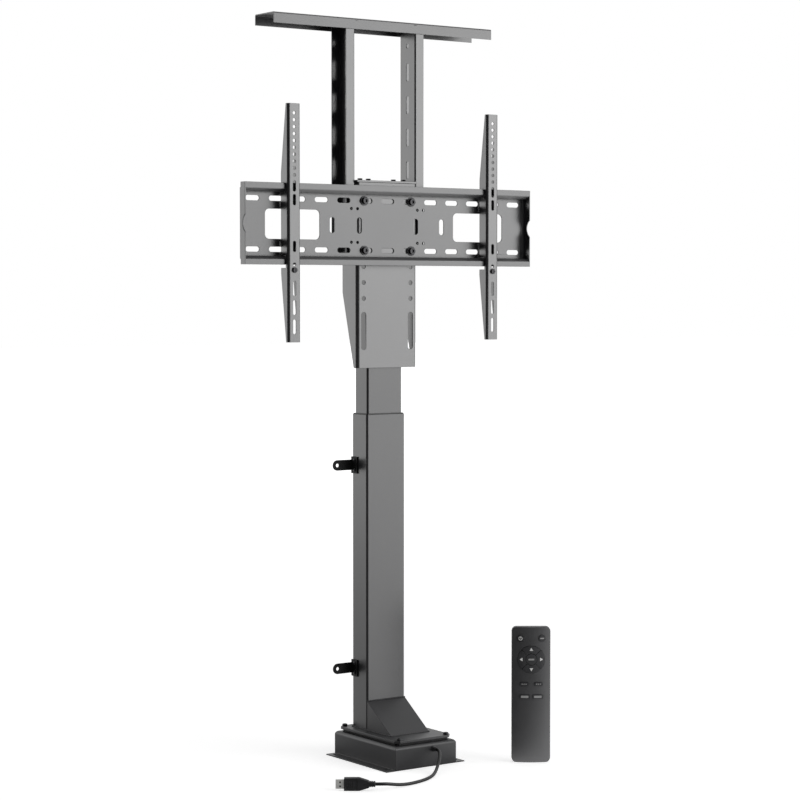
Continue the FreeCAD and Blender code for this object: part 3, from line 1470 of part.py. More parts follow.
def arm_holes(body, name, half):
    """The column of round holes above, the slots below, and the spare ones between."""
    top = draw(body, "XZ", name + "_hole_shape")
    ring(top, 0, half - s.arm_hole_top, s.arm_hole_radius)
    first = pierce(body, top, name + "_first_hole")
    repeat(body, first, top, "V_Axis", s.arm_hole_pitch, s.arm_hole_count, name + "_holes",
           turned=True)
    low = draw(body, "XZ", name + "_slot_shape")
    slot(low, 0, s.arm_slot_low - half, s.arm_slot_long, s.arm_slot_wide, upright=True)
    first_slot = pierce(body, low, name + "_first_slot")
    repeat(body, first_slot, low, "V_Axis", s.arm_slot_pitch, s.arm_slot_count,
           name + "_slots")
    spare = draw(body, "XZ", name + "_spare_shape")
    for high in (s.arm_spare_spread, -s.arm_spare_spread, s.arm_spare_high):
        slot(spare, 0, high, s.arm_spare_long, s.arm_slot_wide, upright=True)
    for high in (-s.arm_spare_low, lock_screw_z - arm_z):
        ring(spare, 0, high, s.lock_screw_radius)
    pierce(body, spare, name + "_spare_holes")


def lock_screw(side, label):
    """The screw that traps the tray's lower rail in the arm's hook."""
    screw = bolt(label + "_screw", side * arm_x, arm_y, lock_screw_z, "Y",
                 s.lock_head_radius, s.lock_head_tall, s.lock_screw_radius,
                 s.lock_screw_reach)
    return publish(label, screw)


# Remote

def stand(thing):
    """Puts a piece that is built upright at the origin where the remote stands."""
    holder = group(thing.Name + "_standing", thing)
    turn = FreeCAD.Rotation(FreeCAD.Vector(0, 0, 1), -number(s.remote_turn))
    holder.Placement = FreeCAD.Placement(FreeCAD.Vector(), turn)
    return place(holder, s.base_wide / 2 + s.remote_side_gap,
                 -(s.base_deep / 2 + s.remote_front_gap), 0)


def shell_half(name, front, deep):
    """A rounded slab of the remote's outline between two depths."""
    raw = slab(name + "_raw", -s.remote_wide / 2, front, 0, s.remote_wide, deep,
               s.remote_tall)
    return soften(name, raw, s.remote_round, FreeCAD.Vector(0, 1, 0))


def shell_room(name, front, deep):
    """The hollow inside the remote between two depths."""
    wide, tall = s.remote_wide - 2 * s.remote_wall, s.remote_tall - 2 * s.remote_wall
    raw = slab(name + "_raw", -wide / 2, front, s.remote_wall, wide, deep, tall)
    return soften(name, raw, s.remote_round - s.remote_wall, FreeCAD.Vector(0, 1, 0))


def key_blanks():
    """Every key's name with its outline grown by a margin, as a function of the margin."""
    ring_x, ring_z = 0, s.ring_high
    blanks = {}
    for index, label in enumerate(("key_right", "key_up", "key_left", "key_down")):
        blanks[label] = ("sector", 90 * index, ring_x, ring_z)
    blanks["key_centre"] = ("round", s.centre_key_radius, 0, s.ring_high)
    for side, word in ((-1, "left"), (1, "right")):
        blanks[f"key_top_{word}"] = ("round", s.corner_key_radius,
                                     side * s.corner_key_spread, s.corner_key_high)
        blanks[f"key_small_{word}"] = ("bar", (s.small_key_wide, s.small_key_tall),
                                       side * s.small_key_spread, s.small_key_high)
        blanks[f"key_lower_{word}"] = ("bar", (s.lower_key_wide, s.lower_key_tall),
                                       side * s.lower_key_spread, s.lower_key_high)
    return blanks


def key_solid(name, blank, margin, front, deep):
    """A key or its opening: the outline grown by a margin, between two depths."""
    kind, shape, x, z = blank
    if kind == "round":
        return rod(name, x, front, z, shape + margin, deep, "Y")
    if kind == "bar":
        wide, tall = shape[0] + 2 * margin, shape[1] + 2 * margin
        raw = slab(name + "_raw", x - wide / 2, front, z - tall / 2, wide, deep, tall)
        return soften(name, raw, shape[1] * 0.4, FreeCAD.Vector(0, 1, 0))
    outside = rod(name + "_outside", x, front, z, s.ring_radius + margin, deep, "Y")
    hole = rod(name + "_hole", x, front, z, s.centre_key_radius + s.key_gap * 2 - margin,
               deep, "Y")
    quarter = doc.addObject("Part::Box", name + "_quarter")
    reach = s.ring_radius * 2
    for path, size in zip(("Length", "Width", "Height"), (reach, deep, reach)):
        bind(quarter, path, size)
    turn = FreeCAD.Rotation(FreeCAD.Vector(0, 1, 0), 45 - shape)
    corner = turn.multVec(FreeCAD.Vector(1, 0, 1).normalize())
    split = (s.ring_split / 2 - margin) * math.sqrt(2)
    quarter.Placement = FreeCAD.Placement(FreeCAD.Vector(), turn)
    place(quarter, x + split * corner.x, front, z + split * corner.z)
    common = doc.addObject("Part::MultiCommon", name + "_sector")
    common.Shapes = [outside, quarter]
    return cut(name, common, hole)


def remote():
    """Two shell halves, the board and eleven keys that press into the front."""
    skin = shell_half("front_skin", 0, s.remote_split)
    room = shell_room("front_room", s.remote_wall, s.remote_split)
    blanks = key_blanks()
    openings = [rod("ring_opening", 0, 0, s.ring_high, s.ring_radius + s.key_gap,
                    s.remote_wall, "Y")]
    for label, blank in blanks.items():
        if blank[0] == "sector" or label == "key_centre":
            continue
        openings.append(key_solid(label + "_opening", blank, s.key_gap, 0, s.remote_wall))
    publish("remote_front_shell", stand(cut("front_shell", skin, room, *openings)))
    back = shell_half("back_skin", s.remote_split, s.remote_deep - s.remote_split)
    back_room = shell_room("back_room", s.remote_split,
                           s.remote_deep - s.remote_split - s.remote_wall)
    publish("remote_back_shell", stand(cut("back_shell", back, back_room)))
    board_front = s.remote_wall + s.key_flange + s.key_travel + s.key_gap
    board = slab("remote_board_sheet", s.remote_wall - s.remote_wide / 2, board_front,
                 s.remote_round, s.remote_wide - 2 * s.remote_wall, s.remote_board_thick,
                 s.remote_tall - 2 * s.remote_round)
    publish("remote_board", stand(board))
    for label, blank in blanks.items():
        cap = key_solid(label + "_cap", blank, 0, -s.key_proud,
                        s.key_proud + s.remote_wall + s.key_flange - s.key_gap / 2)
        publish(label, stand(cap))


def build():
    """Builds every sub-part."""
    base_box()
    stacked_plate("gasket", "base_gasket", s.gasket_inset, gasket_low, s.gasket_thick)
    stacked_plate("mounting", "base_top_plate", 0, plate_low, s.plate_thick)
    corner_bolts()
    motor_hood()
    outer_tube()
    guide("outer_guide", s.outer_wide, s.outer_deep, outer_top)
    drive_motor()
    drive_pinion()
    drive_gear()
    lower_spindle()
    bearing("lower_bearing", plate_top, s.spindle_foot_radius + s.slide_gap)
    control_board()
    wall_tab("wall_tab_lower", s.tab_low_height)
    wall_tab("wall_tab_upper", s.tab_high_height)
    tab_screws()
    cord_gland()
    power_cord()
    plug()
    middle_stage()
    upper_spindle()
    inner_stage()
    head_bracket()
    head_top_plate()
    head_top_bolts()
    wall_plate()
    wall_bolts()
    for side, word in ((-1, "left"), (1, "right")):
        support_post(side, f"support_post_{word}")
        arm(side, f"arm_{word}")
        lock_screw(side, f"arm_lock_screw_{word}")
    post_bolts()
    top_bar()
    top_bar_bolts()
    remote()


def check_and_write():
    """Recomputes, checks every object and writes one file for each sub-part."""
    doc.recompute()
    for thing in doc.Objects:
        if "Invalid" in thing.State or "Error" in thing.State:
            raise RuntimeError(f"{thing.Name} failed: {thing.State}")
    for thing in NODES:
        if thing.Shape.isNull() or not thing.Shape.isValid() or not thing.Shape.Solids:
            raise RuntimeError(f"{thing.Label} has no valid solid")
    os.makedirs("parts", exist_ok=True)
    for thing in NODES:
        thing.Shape.exportStep(os.path.join("parts", thing.Label + ".step"))
    print(f"{len(NODES)} sub-parts, {len(doc.Objects)} objects")


build()
check_and_write()
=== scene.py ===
# %% [markdown]
# # A motorised television lift
# A motor turns a screw inside three steel tubes that slide in each other, and the head that they
# raise carries a slotted plate, two hooked arms and a bar for the cabinet's lid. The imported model
# holds every solid in its place, in metres. Sizes are written here in millimetres, as on the
# drawing, and multiplied by mm.

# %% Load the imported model
import json
import math

import bpy
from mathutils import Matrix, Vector

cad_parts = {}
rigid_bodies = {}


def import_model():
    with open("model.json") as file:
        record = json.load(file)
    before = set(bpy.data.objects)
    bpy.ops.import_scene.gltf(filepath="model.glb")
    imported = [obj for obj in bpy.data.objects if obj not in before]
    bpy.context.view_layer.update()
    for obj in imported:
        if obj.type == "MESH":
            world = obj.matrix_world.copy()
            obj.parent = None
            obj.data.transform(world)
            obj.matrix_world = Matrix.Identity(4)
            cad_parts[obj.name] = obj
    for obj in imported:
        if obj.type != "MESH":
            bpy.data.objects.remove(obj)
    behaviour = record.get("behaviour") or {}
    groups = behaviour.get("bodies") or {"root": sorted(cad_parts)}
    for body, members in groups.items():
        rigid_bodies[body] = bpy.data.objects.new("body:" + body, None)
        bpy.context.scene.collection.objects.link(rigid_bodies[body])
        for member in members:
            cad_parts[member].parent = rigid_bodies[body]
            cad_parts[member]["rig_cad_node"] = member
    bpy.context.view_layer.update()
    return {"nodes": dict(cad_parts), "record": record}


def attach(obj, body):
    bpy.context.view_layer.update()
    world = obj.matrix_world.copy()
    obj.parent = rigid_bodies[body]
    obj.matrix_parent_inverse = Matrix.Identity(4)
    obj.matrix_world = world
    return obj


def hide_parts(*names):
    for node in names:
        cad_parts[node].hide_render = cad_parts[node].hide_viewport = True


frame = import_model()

mm = 0.001

# %% [markdown]
# ## Camera
# The photograph was taken from the left with a long lens, about 0.9 m above the floor. The
# camera's place, lens and angles were fitted to some sixty points of the object. It looks a
# little down and isn't rolled.

# %% Add the camera
CAMERA_PLACE = (-2.46604, -3.49214, 0.88241)
DEGREES_DOWN, DEGREES_RIGHT = 2.68, 35.36
LENS, SENSOR = 101.93, 36
bpy.ops.object.camera_add(location=CAMERA_PLACE, rotation=(
    math.radians(90 - DEGREES_DOWN), 0, math.radians(-DEGREES_RIGHT)))
camera = bpy.context.active_object
camera.name = "photo_camera"
camera.data.lens = LENS
camera.data.sensor_width = SENSOR
bpy.context.scene.camera = camera
print("camera at", CAMERA_PLACE)

# %% [markdown]
# ## Lead
# The lead is a limp round cable. It leaves the box's front straight, falls to the floor and runs
# round to its plug. A NURBS curve follows the same points as the solid, and its order is set
# after the points, because set before, it would stay straight between them.

# %% Draw the lead
LEAD_RADIUS = 3
LEAD_ROUTE = [
    (17, -107.5, 33), (17, -114.5, 33), (15.2, -121.3, 32.2), (11.8, -127.8, 29.8),
    (6, -135.5, 24.8), (-3.5, -145.5, 16.4), (-15.5, -156.5, 9.4), (-29, -169, 5),
    (-45, -182.5, 3.3), (-63, -194.5, 3.2), (-83, -204, 3.2), (-104, -210, 3.2),
    (-125, -214, 3.6), (-145, -217, 5.8), (-161, -218.5, 9), (-173.5, -218.3, 11.1),
    (-183, -215.5, 11.5), (-190.5, -210, 11.5),
]
lead_curve = bpy.data.curves.new("lead_curve", "CURVE")
lead_curve.dimensions = "3D"
lead_spline = lead_curve.splines.new("NURBS")
lead_spline.points.add(len(LEAD_ROUTE) - 1)
for point, place in zip(lead_spline.points, LEAD_ROUTE):
    point.co = (place[0] * mm, place[1] * mm, place[2] * mm, 1)
lead_spline.order_u = 3
lead_spline.use_endpoint_u = True
lead_spline.resolution_u = 8
lead_curve.bevel_depth = LEAD_RADIUS * mm
lead_curve.bevel_resolution = 6
lead_curve.use_fill_caps = True
lead = bpy.data.objects.new("lead", lead_curve)
bpy.context.scene.collection.objects.link(lead)
print("lead through", len(LEAD_ROUTE), "points")

# %% [markdown]
# ## Small helpers
# Blender's operators act on what is selected, so every step first selects one object alone. A
# modifier is applied as soon as it is set, and a cutting tool is deleted once it has cut.

# %% Selecting and applying
def only(piece):
    """Selects one object and makes it the active one."""
    bpy.ops.object.select_all(action="DESELECT")
    piece.select_set(True)
    bpy.context.view_layer.objects.active = piece
    return piece


def settle(piece):
    """Moves a piece's place, turn and scale into its mesh."""
    only(piece)
    bpy.ops.object.transform_apply(location=True, rotation=True, scale=True)
    return piece


def add_modifier(piece, kind, **settings):
    """Adds a modifier, gives it its settings and applies it."""
    only(piece)
    modifier = piece.modifiers.new(kind.lower(), kind)
    for name, value in settings.items():
        setattr(modifier, name, value)
    bpy.ops.object.modifier_apply(modifier=modifier.name)
    return piece


# %% Rounding, smoothing, cutting and joining
def ease(piece, width, segments=3, sharper=30):
    """Rounds every edge that is sharper than an angle, by a width in millimetres."""
    return add_modifier(piece, "BEVEL", width=width * mm, segments=segments, limit_method="ANGLE",
                        angle_limit=math.radians(sharper), use_clamp_overlap=False)


def smooth(piece, angle=36):
    """Smooth shading across gentle edges, with large faces kept flat."""
    only(piece)
    bpy.ops.object.shade_smooth_by_angle(angle=math.radians(angle))
    return add_modifier(piece, "WEIGHTED_NORMAL", keep_sharp=True, weight=50)


def carve(piece, tool, operation="DIFFERENCE"):
    """Cuts a piece with a tool, which is then removed."""
    add_modifier(piece, "BOOLEAN", operation=operation, object=tool, solver="EXACT")
    only(tool)
    bpy.ops.object.delete()
    return piece


def join(pieces):
    """Makes one object of several."""
    only(pieces[0])
    for piece in pieces[1:]:
        piece.select_set(True)
    if len(pieces) > 1:
        bpy.ops.object.join()
    return pieces[0]


# %% [markdown]
# ## Finishes
# Colours are written as on a paint card, in sRGB, and Blender's nodes want linear light, so one
# function turns one into the other. Every pattern reads Object coordinates, which are metres
# here, so its scale is one divided by the width of its grain in metres. No finish is one flat
# colour: its tone and its gloss wander a little, in soft patches.

# %% Colours and nodes
def colour(code):
    """A linear colour from an sRGB hex code."""
    channels = [int(code[start:start + 2], 16) / 255 for start in (1, 3, 5)]
    linear = [value / 12.92 if value <= 0.04045 else ((value + 0.055) / 1.055) ** 2.4
              for value in channels]
    return (*linear, 1.0)


def scale_for(width):
    """The texture scale that makes a grain this wide, in millimetres."""
    return 1 / (width * mm)


def add_node(owner, kind, values=None, links=None, **settings):
    """Adds a node to a material or the world, with its settings, values and links."""
    node = owner.node_tree.nodes.new("ShaderNode" + kind)
    for name, value in settings.items():
        setattr(node, name, value)
    for socket, value in (values or {}).items():
        node.inputs[socket].default_value = value
    for socket, source in (links or {}).items():
        owner.node_tree.links.new(source, node.inputs[socket])
    return node


def surface_of(material):
    """The material's main shader node."""
    return material.node_tree.nodes["Principled BSDF"]


def connect(material, source, socket):
    """Leads a node's output into a socket of the main shader."""
    material.node_tree.links.new(source, surface_of(material).inputs[socket])


# %% Patches and relief
PATCH_EDGES = (0.35, 0.65)    # where the first tone ends and where the second begins


def patchy_material(name, first, second, patch, low, high, **shader):
    """A material whose tone and roughness wander in patches, and its Object coordinates."""
    material = bpy.data.materials.new(name)
    material.use_nodes = True
    uniform = {"Base Color": colour(first), "Roughness": (low + high) / 2, **shader}
    for socket, value in uniform.items():
        surface_of(material).inputs[socket].default_value = value
    place = add_node(material, "TexCoord").outputs["Object"]
    noise = add_node(material, "TexNoise", {"Scale": scale_for(patch), "Detail": 3.0},
                     {"Vector": place})
    tone = add_node(material, "ValToRGB", None, {"Fac": noise.outputs["Fac"]})
    for stop, position, code in zip(tone.color_ramp.elements, PATCH_EDGES, (first, second)):
        stop.position = position
        stop.color = colour(code)
    gloss = add_node(material, "MapRange", {"To Min": low, "To Max": high},
                     {"Value": noise.outputs["Fac"]})
    connect(material, tone.outputs["Color"], "Base Color")
    connect(material, gloss.outputs["Result"], "Roughness")
    return material, place


def emboss(material, *reliefs):
    """Bends the surface by patterns laid on each other, each with its height in millimetres."""
    links = {}
    for pattern, tall in reliefs:
        links["Height"] = pattern
        bump = add_node(material, "Bump", {"Strength": 1.0, "Distance": tall * mm}, links)
        links["Normal"] = bump.outputs["Normal"]
    connect(material, links["Normal"], "Normal")
    return material


# %% [markdown]
# ### Powder coat
# The frame is steel, sprayed with polyester powder and baked. The powder melts into a satin film
# with a faint orange peel, a wave of about two millimetres, and a finer grain from the powder
# itself. The grain is about 0.3 mm, too fine to show from three metres, so it is drawn at 0.8 mm.
# Polyester has an IOR of 1.5. In the photograph the bracket, the plate and the tubes mirror the
# lamps more than that, each a little differently, so theirs is raised, while the base keeps it
# and the two wall tabs are matt.

# %% Mix the powder coat
COAT_PATCH = 60
PEEL_WIDE, PEEL_TALL = 2.2, 0.03
GRAIN_WIDE, GRAIN_TALL = 0.8, 0.02


def powder_coat(name, dark, light, low, high, ior):
    """A baked polyester powder film on steel."""
    material, place = patchy_material(name, dark, light, COAT_PATCH, low, high, IOR=ior)
    peel = add_node(material, "TexNoise", {"Scale": scale_for(PEEL_WIDE), "Detail": 1.0},
                    {"Vector": place})
    grain = add_node(material, "TexNoise", {"Scale": scale_for(GRAIN_WIDE), "Detail": 2.0},
                     {"Vector": place})
    return emboss(material, (peel.outputs["Fac"], PEEL_TALL), (grain.outputs["Fac"], GRAIN_TALL))


frame_coat = powder_coat("powder_coated_steel_frame", "#1a1a1c", "#202022", 0.29, 0.35, 1.86)
plate_coat = powder_coat("powder_coated_steel_plate", "#1a1a1c", "#202022", 0.30, 0.37, 1.76)
tube_coat = powder_coat("powder_coated_steel_tube", "#18181a", "#1e1e20", 0.29, 0.36, 1.67)
base_coat = powder_coat("powder_coated_steel_base", "#242426", "#2a2a2c", 0.38, 0.46, 1.5)
tab_coat = powder_coat("matt_black_coated_steel", "#0b0b0c", "#101011", 0.55, 0.65, 1.3)
print("powder coats mixed")

# %% [markdown]
# ### Black oxide, bright steel, brass and nickel
# The screws are blackened in a hot salt bath, which leaves bare steel with a dull blue-black
# skin. Turned parts keep the fine rings of the lathe tool, far too fine to show, so they are
# drawn nearly 4 mm apart. The plug's shell is thinly plated and dull from handling. As a full
# metal it would mirror the studio's dark end and look black, so it is only partly metallic, and
# its rings are so wide and low that they only unsettle the gloss.

# %% Mix the metals
METAL_PATCH = 8
RING_APART = 3.77
WAVE_LENGTH = 2 * math.pi / 20    # what Blender's wave texture repeats after at a scale of 1


def turned_metal(name, first, second, roughness, apart=RING_APART, tall=0.02, metallic=1.0):
    """A metal turned on a lathe, with rings along its axis, some millimetres apart."""
    material, place = patchy_material(name, first, second, METAL_PATCH, roughness - 0.06,
                                      roughness + 0.08, Metallic=metallic)
    rings = add_node(material, "TexWave", {"Scale": WAVE_LENGTH * scale_for(apart),
                                           "Distortion": 1.5, "Detail": 2.0},
                     {"Vector": place}, bands_direction="Z")
    return emboss(material, (rings.outputs["Fac"], tall))


black_oxide = turned_metal("black_oxide_steel", "#161618", "#26262a", 0.34, tall=0.01,
                           metallic=0.35)
bright_steel = turned_metal("turned_bright_steel", "#b9b9bc", "#cfcfd2", 0.24)
nut_brass = turned_metal("turned_brass", "#b58b3c", "#cda255", 0.28)
nickel = turned_metal("nickel_plated_steel", "#d2d2cf", "#dededa", 0.42, apart=12.57,
                      tall=0.004, metallic=0.3)
print("metals mixed")

# %% [markdown]
# ### Moulded plastics, rubber and paint
# The guides are nylon, the gear is natural acetal, the remote's shells are spark-textured ABS and
# its keys silicone, and the lead has a PVC jacket. A spark texture is a field of rounded pits
# about 0.2 mm wide, drawn at 0.6 mm so that it shows. ABS has an IOR of 1.5, raised on the
# remote, whose right side mirrors the lamps.

# %% Mix the plastics
PLASTIC_PATCH = 30


def moulded(name, first, second, roughness, pit=0.6, tall=0.02, **shader):
    """A moulded plastic or rubber with a spark-textured skin."""
    material, place = patchy_material(name, first, second, PLASTIC_PATCH, roughness - 0.05,
                                      roughness + 0.05, **shader)
    pits = add_node(material, "TexVoronoi", {"Scale": scale_for(pit)}, {"Vector": place},
                    feature="SMOOTH_F1")
    return emboss(material, (pits.outputs["Distance"], tall))


guide_nylon = moulded("moulded_black_nylon", "#141415", "#1b1b1c", 0.48)
gear_acetal = moulded("moulded_natural_acetal", "#d9d6cc", "#e2dfd5", 0.42, tall=0.01)
gasket_rubber = moulded("pressed_black_rubber", "#0f0f10", "#151516", 0.72, 0.9, 0.05)
lead_jacket = moulded("pvc_cable_jacket", "#0d0d0e", "#131314", 0.46, 0.8, 0.015)
plug_pvc = moulded("moulded_black_pvc", "#242426", "#2b2b2d", 0.44, 0.7, 0.03)
remote_abs = moulded("spark_textured_black_abs", "#2c2c2e", "#323234", 0.5, 0.6, 0.012,
                     IOR=1.75)
key_rubber = moulded("moulded_key_silicone", "#2a2a2c", "#323234", 0.5, 0.7, 0.02)
mark_ink = moulded("pale_printed_ink", "#d8d8d6", "#e4e4e2", 0.5, 0.5, 0.005)
grey_ink = moulded("grey_printed_ink", "#949494", "#a0a09f", 0.5, 0.5, 0.005)
motor_paint = moulded("baked_black_enamel", "#17171a", "#1f1f22", 0.3, 1.2, 0.01)
solder_mask = moulded("green_solder_mask", "#0f4a26", "#14562d", 0.28, 1.5, 0.008)
relay_blue = moulded("moulded_blue_polyester", "#1d4f9a", "#2357a5", 0.4)
print("plastics mixed")

# %% [markdown]
# ## Putting a piece in place
# A finished piece rides on a body of the model, stands for the solid it replaces, and takes the
# finish given to it.

# %% Install a piece
NODE_BODY = {node: body for body, nodes in frame["record"]["behaviour"]["bodies"].items()
             for node in nodes}


def paint(piece, material):
    """Gives an object one material."""
    piece.data.materials.clear()
    piece.data.materials.append(material)


def install(piece, name, node, material, stands_for=True):
    """Names, paints and mounts a piece that belongs with a CAD node."""
    piece.name = name
    piece.data.name = name + "_mesh"
    paint(piece, material)
    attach(piece, NODE_BODY[node])
    if stands_for:
        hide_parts(node)
    print(name, "on", NODE_BODY[node], "with", len(piece.data.polygons), "faces")


# %% [markdown]
# ## Folded sheet, plates and tubes
# Steel that has been cut, folded and coated has no sharp edge: the film rounds every corner by
# about half a millimetre, and that thin line of light is what makes a dark frame readable. The
# solids have the right shapes, so each is copied, its triangles are merged into faces, and its
# edges are rounded. Doing it again by hand would only repeat their sizes. The copy drops the mark
# of a CAD node, because it is a piece of its own.

# %% Ease the edges of a copy
def eased_copy(node, width):
    """A copy of a CAD node with its edges rounded."""
    only(frame["nodes"][node])
    bpy.ops.object.duplicate()
    piece = bpy.context.active_object
    del piece["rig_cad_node"]
    bpy.ops.mesh.customdata_custom_splitnormals_clear()
    bpy.ops.object.mode_set(mode="EDIT")
    bpy.ops.mesh.select_all(action="SELECT")
    bpy.ops.mesh.remove_doubles(threshold=0.01 * mm)
    bpy.ops.mesh.dissolve_limited(angle_limit=math.radians(1))
    bpy.ops.object.mode_set(mode="OBJECT")
    ease(piece, width)
    return smooth(piece)


# an edge width in millimetres, a finish, and the nodes that have both
EASED = [
    (0.5, base_coat, "base_box"), (0.7, base_coat, "base_top_plate"),
    (0.4, gasket_rubber, "base_gasket"), (0.6, base_coat, "motor_hood"),
    (0.4, tube_coat, "outer_tube", "middle_tube", "inner_tube"),
    (0.4, guide_nylon, "outer_guide", "middle_guide", "middle_glides", "inner_glides"),
    (0.5, frame_coat, "middle_foot_plate"),
    (0.4, tab_coat, "wall_tab_upper", "wall_tab_lower"),
    (0.5, frame_coat, "head_bracket"), (0.6, frame_coat, "head_top_plate"),
    (0.45, plate_coat, "wall_plate"),
    (0.4, frame_coat, "support_post_left", "support_post_right"),
    (0.45, plate_coat, "top_bar"), (0.45, frame_coat, "arm_left", "arm_right"),
    (0.4, nut_brass, "inner_nut"), (0.3, nut_brass, "lower_nut"),
    (0.5, bright_steel, "lower_bearing", "upper_bearing"),
    (0.25, gear_acetal, "drive_gear"), (0.15, bright_steel, "drive_pinion"),
    (0.4, bright_steel, "lower_spindle", "upper_spindle"),
]
for width, material, *nodes in EASED:
    for node in nodes:
        install(eased_copy(node, width), "eased_" + node, node, material)

# %% [markdown]
# ## Screws, nuts and washers
# A screw is turned from bar: its shank, its flange and its head are steps of one round blank. So
# a circle is extruded upward and resized step by step, and the hexagonal socket is cut last. One
# screw of each kind is made, standing on the origin, and copied to its places.

# %% Turn a blank
def turned(start, steps, sides=48):
    """A round solid on the Z axis: each step is a height and a radius in millimetres."""
    bpy.ops.object.select_all(action="DESELECT")
    height, radius = start
    bpy.ops.mesh.primitive_circle_add(vertices=sides, radius=radius * mm, fill_type="NGON",
                                      location=(0, 0, height * mm))
    piece = settle(bpy.context.active_object)
    bpy.ops.object.mode_set(mode="EDIT")
    bpy.ops.mesh.select_mode(type="FACE")
    bpy.ops.mesh.select_all(action="SELECT")
    for next_height, next_radius in steps:
        rise = (next_height - height) * mm
        bpy.ops.mesh.extrude_region_move(TRANSFORM_OT_translate={"value": (0, 0, rise)})
        ratio = next_radius / radius
        bpy.ops.transform.resize(value=(ratio, ratio, 1),
                                 center_override=(0, 0, next_height * mm))
        height, radius = next_height, next_radius
    bpy.ops.mesh.select_all(action="SELECT")
    bpy.ops.mesh.normals_make_consistent(inside=False)
    bpy.ops.object.mode_set(mode="OBJECT")
    return piece


# %% Mill a hexagon and drill a hole
def upright(radius, low, high, sides=48, x=0, y=0):
    """A cylinder or prism that stands between two heights."""
    bpy.ops.mesh.primitive_cylinder_add(vertices=sides, radius=radius * mm,
                                        depth=(high - low) * mm,
                                        location=(x * mm, y * mm, (low + high) / 2 * mm))
    return settle(bpy.context.active_object)


CHAMFER_ACROSS, CHAMFER_DOWN = 0.16, 0.096    # as shares of a hexagon's radius


def hexagon(low, high, radius):
    """A hexagonal prism on the Z axis with its corners turned off a little."""
    prism = upright(radius, low, high, sides=6)
    across, down = radius * CHAMFER_ACROSS, radius * CHAMFER_DOWN
    disc = turned((low, radius - across), [(low + down, radius), (high - down, radius),
                                           (high, radius - across)])
    return carve(prism, disc, "INTERSECT")


def drill(piece, radius, low, high, sides=48):
    """Cuts a hole on the Z axis, round or with as many sides as given."""
    return carve(piece, upright(radius, low, high, sides))


# %% Copy a pattern to its places
# how a pattern that stands on Z is turned to face each way
FACING = {"+Z": (0, 0, 0), "-Z": (math.pi, 0, 0), "-Y": (math.pi / 2, 0, 0),
          "+Y": (-math.pi / 2, 0, 0), "+X": (0, math.pi / 2, 0), "-X": (0, -math.pi / 2, 0)}


def spread(pattern, places):
    """Copies a pattern to its places, each facing its own way, as one object."""
    copies = []
    for x, y, z, way in places:
        only(pattern)
        bpy.ops.object.duplicate()
        copy = bpy.context.active_object
        copy.rotation_euler = FACING[way]
        copy.location = (x * mm, y * mm, z * mm)
        copies.append(settle(copy))
    only(pattern)
    bpy.ops.object.delete()
    return join(copies)


# %% Turn the two kinds of screw
TIP = 0.8    # the taper at a screw's end
SOCKET_WIDE, SOCKET_DEEP = 0.52, 0.55    # as shares of the head


def cap_screw(head_radius, head_tall, shank_radius, shank_long, washer=None):
    """A socket screw with its seat on the origin, on a washer of a radius and a thickness."""
    steps = [(-shank_long + TIP, shank_radius), (0, shank_radius)]
    seat = 0
    if washer:
        washer_radius, seat = washer
        steps += [(0, washer_radius), (seat, washer_radius)]
    top = seat + head_tall
    steps += [(seat, head_radius), (top - 1, head_radius), (top - 0.3, head_radius - 0.35),
              (top, head_radius - 1)]
    screw = turned((-shank_long, shank_radius - TIP), steps)
    drill(screw, head_radius * SOCKET_WIDE, top - head_tall * SOCKET_DEEP, top + 1, sides=6)
    return smooth(ease(screw, 0.15, 2))


def hex_screw(head_radius, head_tall, shank_radius, shank_long, flange):
    """A hexagonal screw with a round flange under its head."""
    shank = turned((-shank_long, shank_radius - 0.6), [
        (-shank_long + 0.6, shank_radius), (0, shank_radius), (0, flange), (0.8, flange),
        (1.2, flange - 0.6)])
    return smooth(ease(join([shank, hexagon(1.1, head_tall, head_radius)]), 0.12, 2))


# %% Screw the base and the cap plate
BASE_PLATE_TOP, CAP_PLATE_TOP = 54, 1096
CORNER_X, CORNER_Y = 54, 90
corner_places = [(x, y, BASE_PLATE_TOP, "+Z") for x in (-CORNER_X, CORNER_X)
                 for y in (-CORNER_Y, CORNER_Y)]
corner_screw = cap_screw(head_radius=5, head_tall=4, shank_radius=3.2, shank_long=18)
install(spread(corner_screw, corner_places), "corner_cap_screws", "base_corner_bolts",
        black_oxide)
cap_places = [(x, y, CAP_PLATE_TOP, "+Z") for x, y in ((-50, 43), (50, 43), (-29, 46), (29, 46))]
cap_plate_screw = hex_screw(head_radius=4.7, head_tall=4, shank_radius=3, shank_long=10.5,
                            flange=5.5)
install(spread(cap_plate_screw, cap_places), "cap_plate_hex_screws", "head_top_bolts",
        black_oxide)

# %% Bolt the wall plate
PLATE_FRONT, BRACKET_BACK, NUT_TALL = 23, 27.5, 6.5
PLATE_BOLTS = [(x, z) for x in (-54, 54) for z in (964, 1057)]
plate_places = [(x, PLATE_FRONT, z, "-Y") for x, z in PLATE_BOLTS]
plate_screw = cap_screw(head_radius=6.5, head_tall=5, shank_radius=4, shank_long=11,
                        washer=(9, 1.6))
install(spread(plate_screw, plate_places), "wall_plate_cap_screws", "wall_plate_bolts",
        black_oxide)
nut = drill(hexagon(0, NUT_TALL, radius=6.5), radius=4, low=-1, high=NUT_TALL + 1.5)
nut_places = [(x, BRACKET_BACK, z, "+Y") for x, z in PLATE_BOLTS]
install(spread(smooth(ease(nut, 0.15, 2)), nut_places), "wall_plate_hex_nuts",
        "wall_plate_nuts", bright_steel)

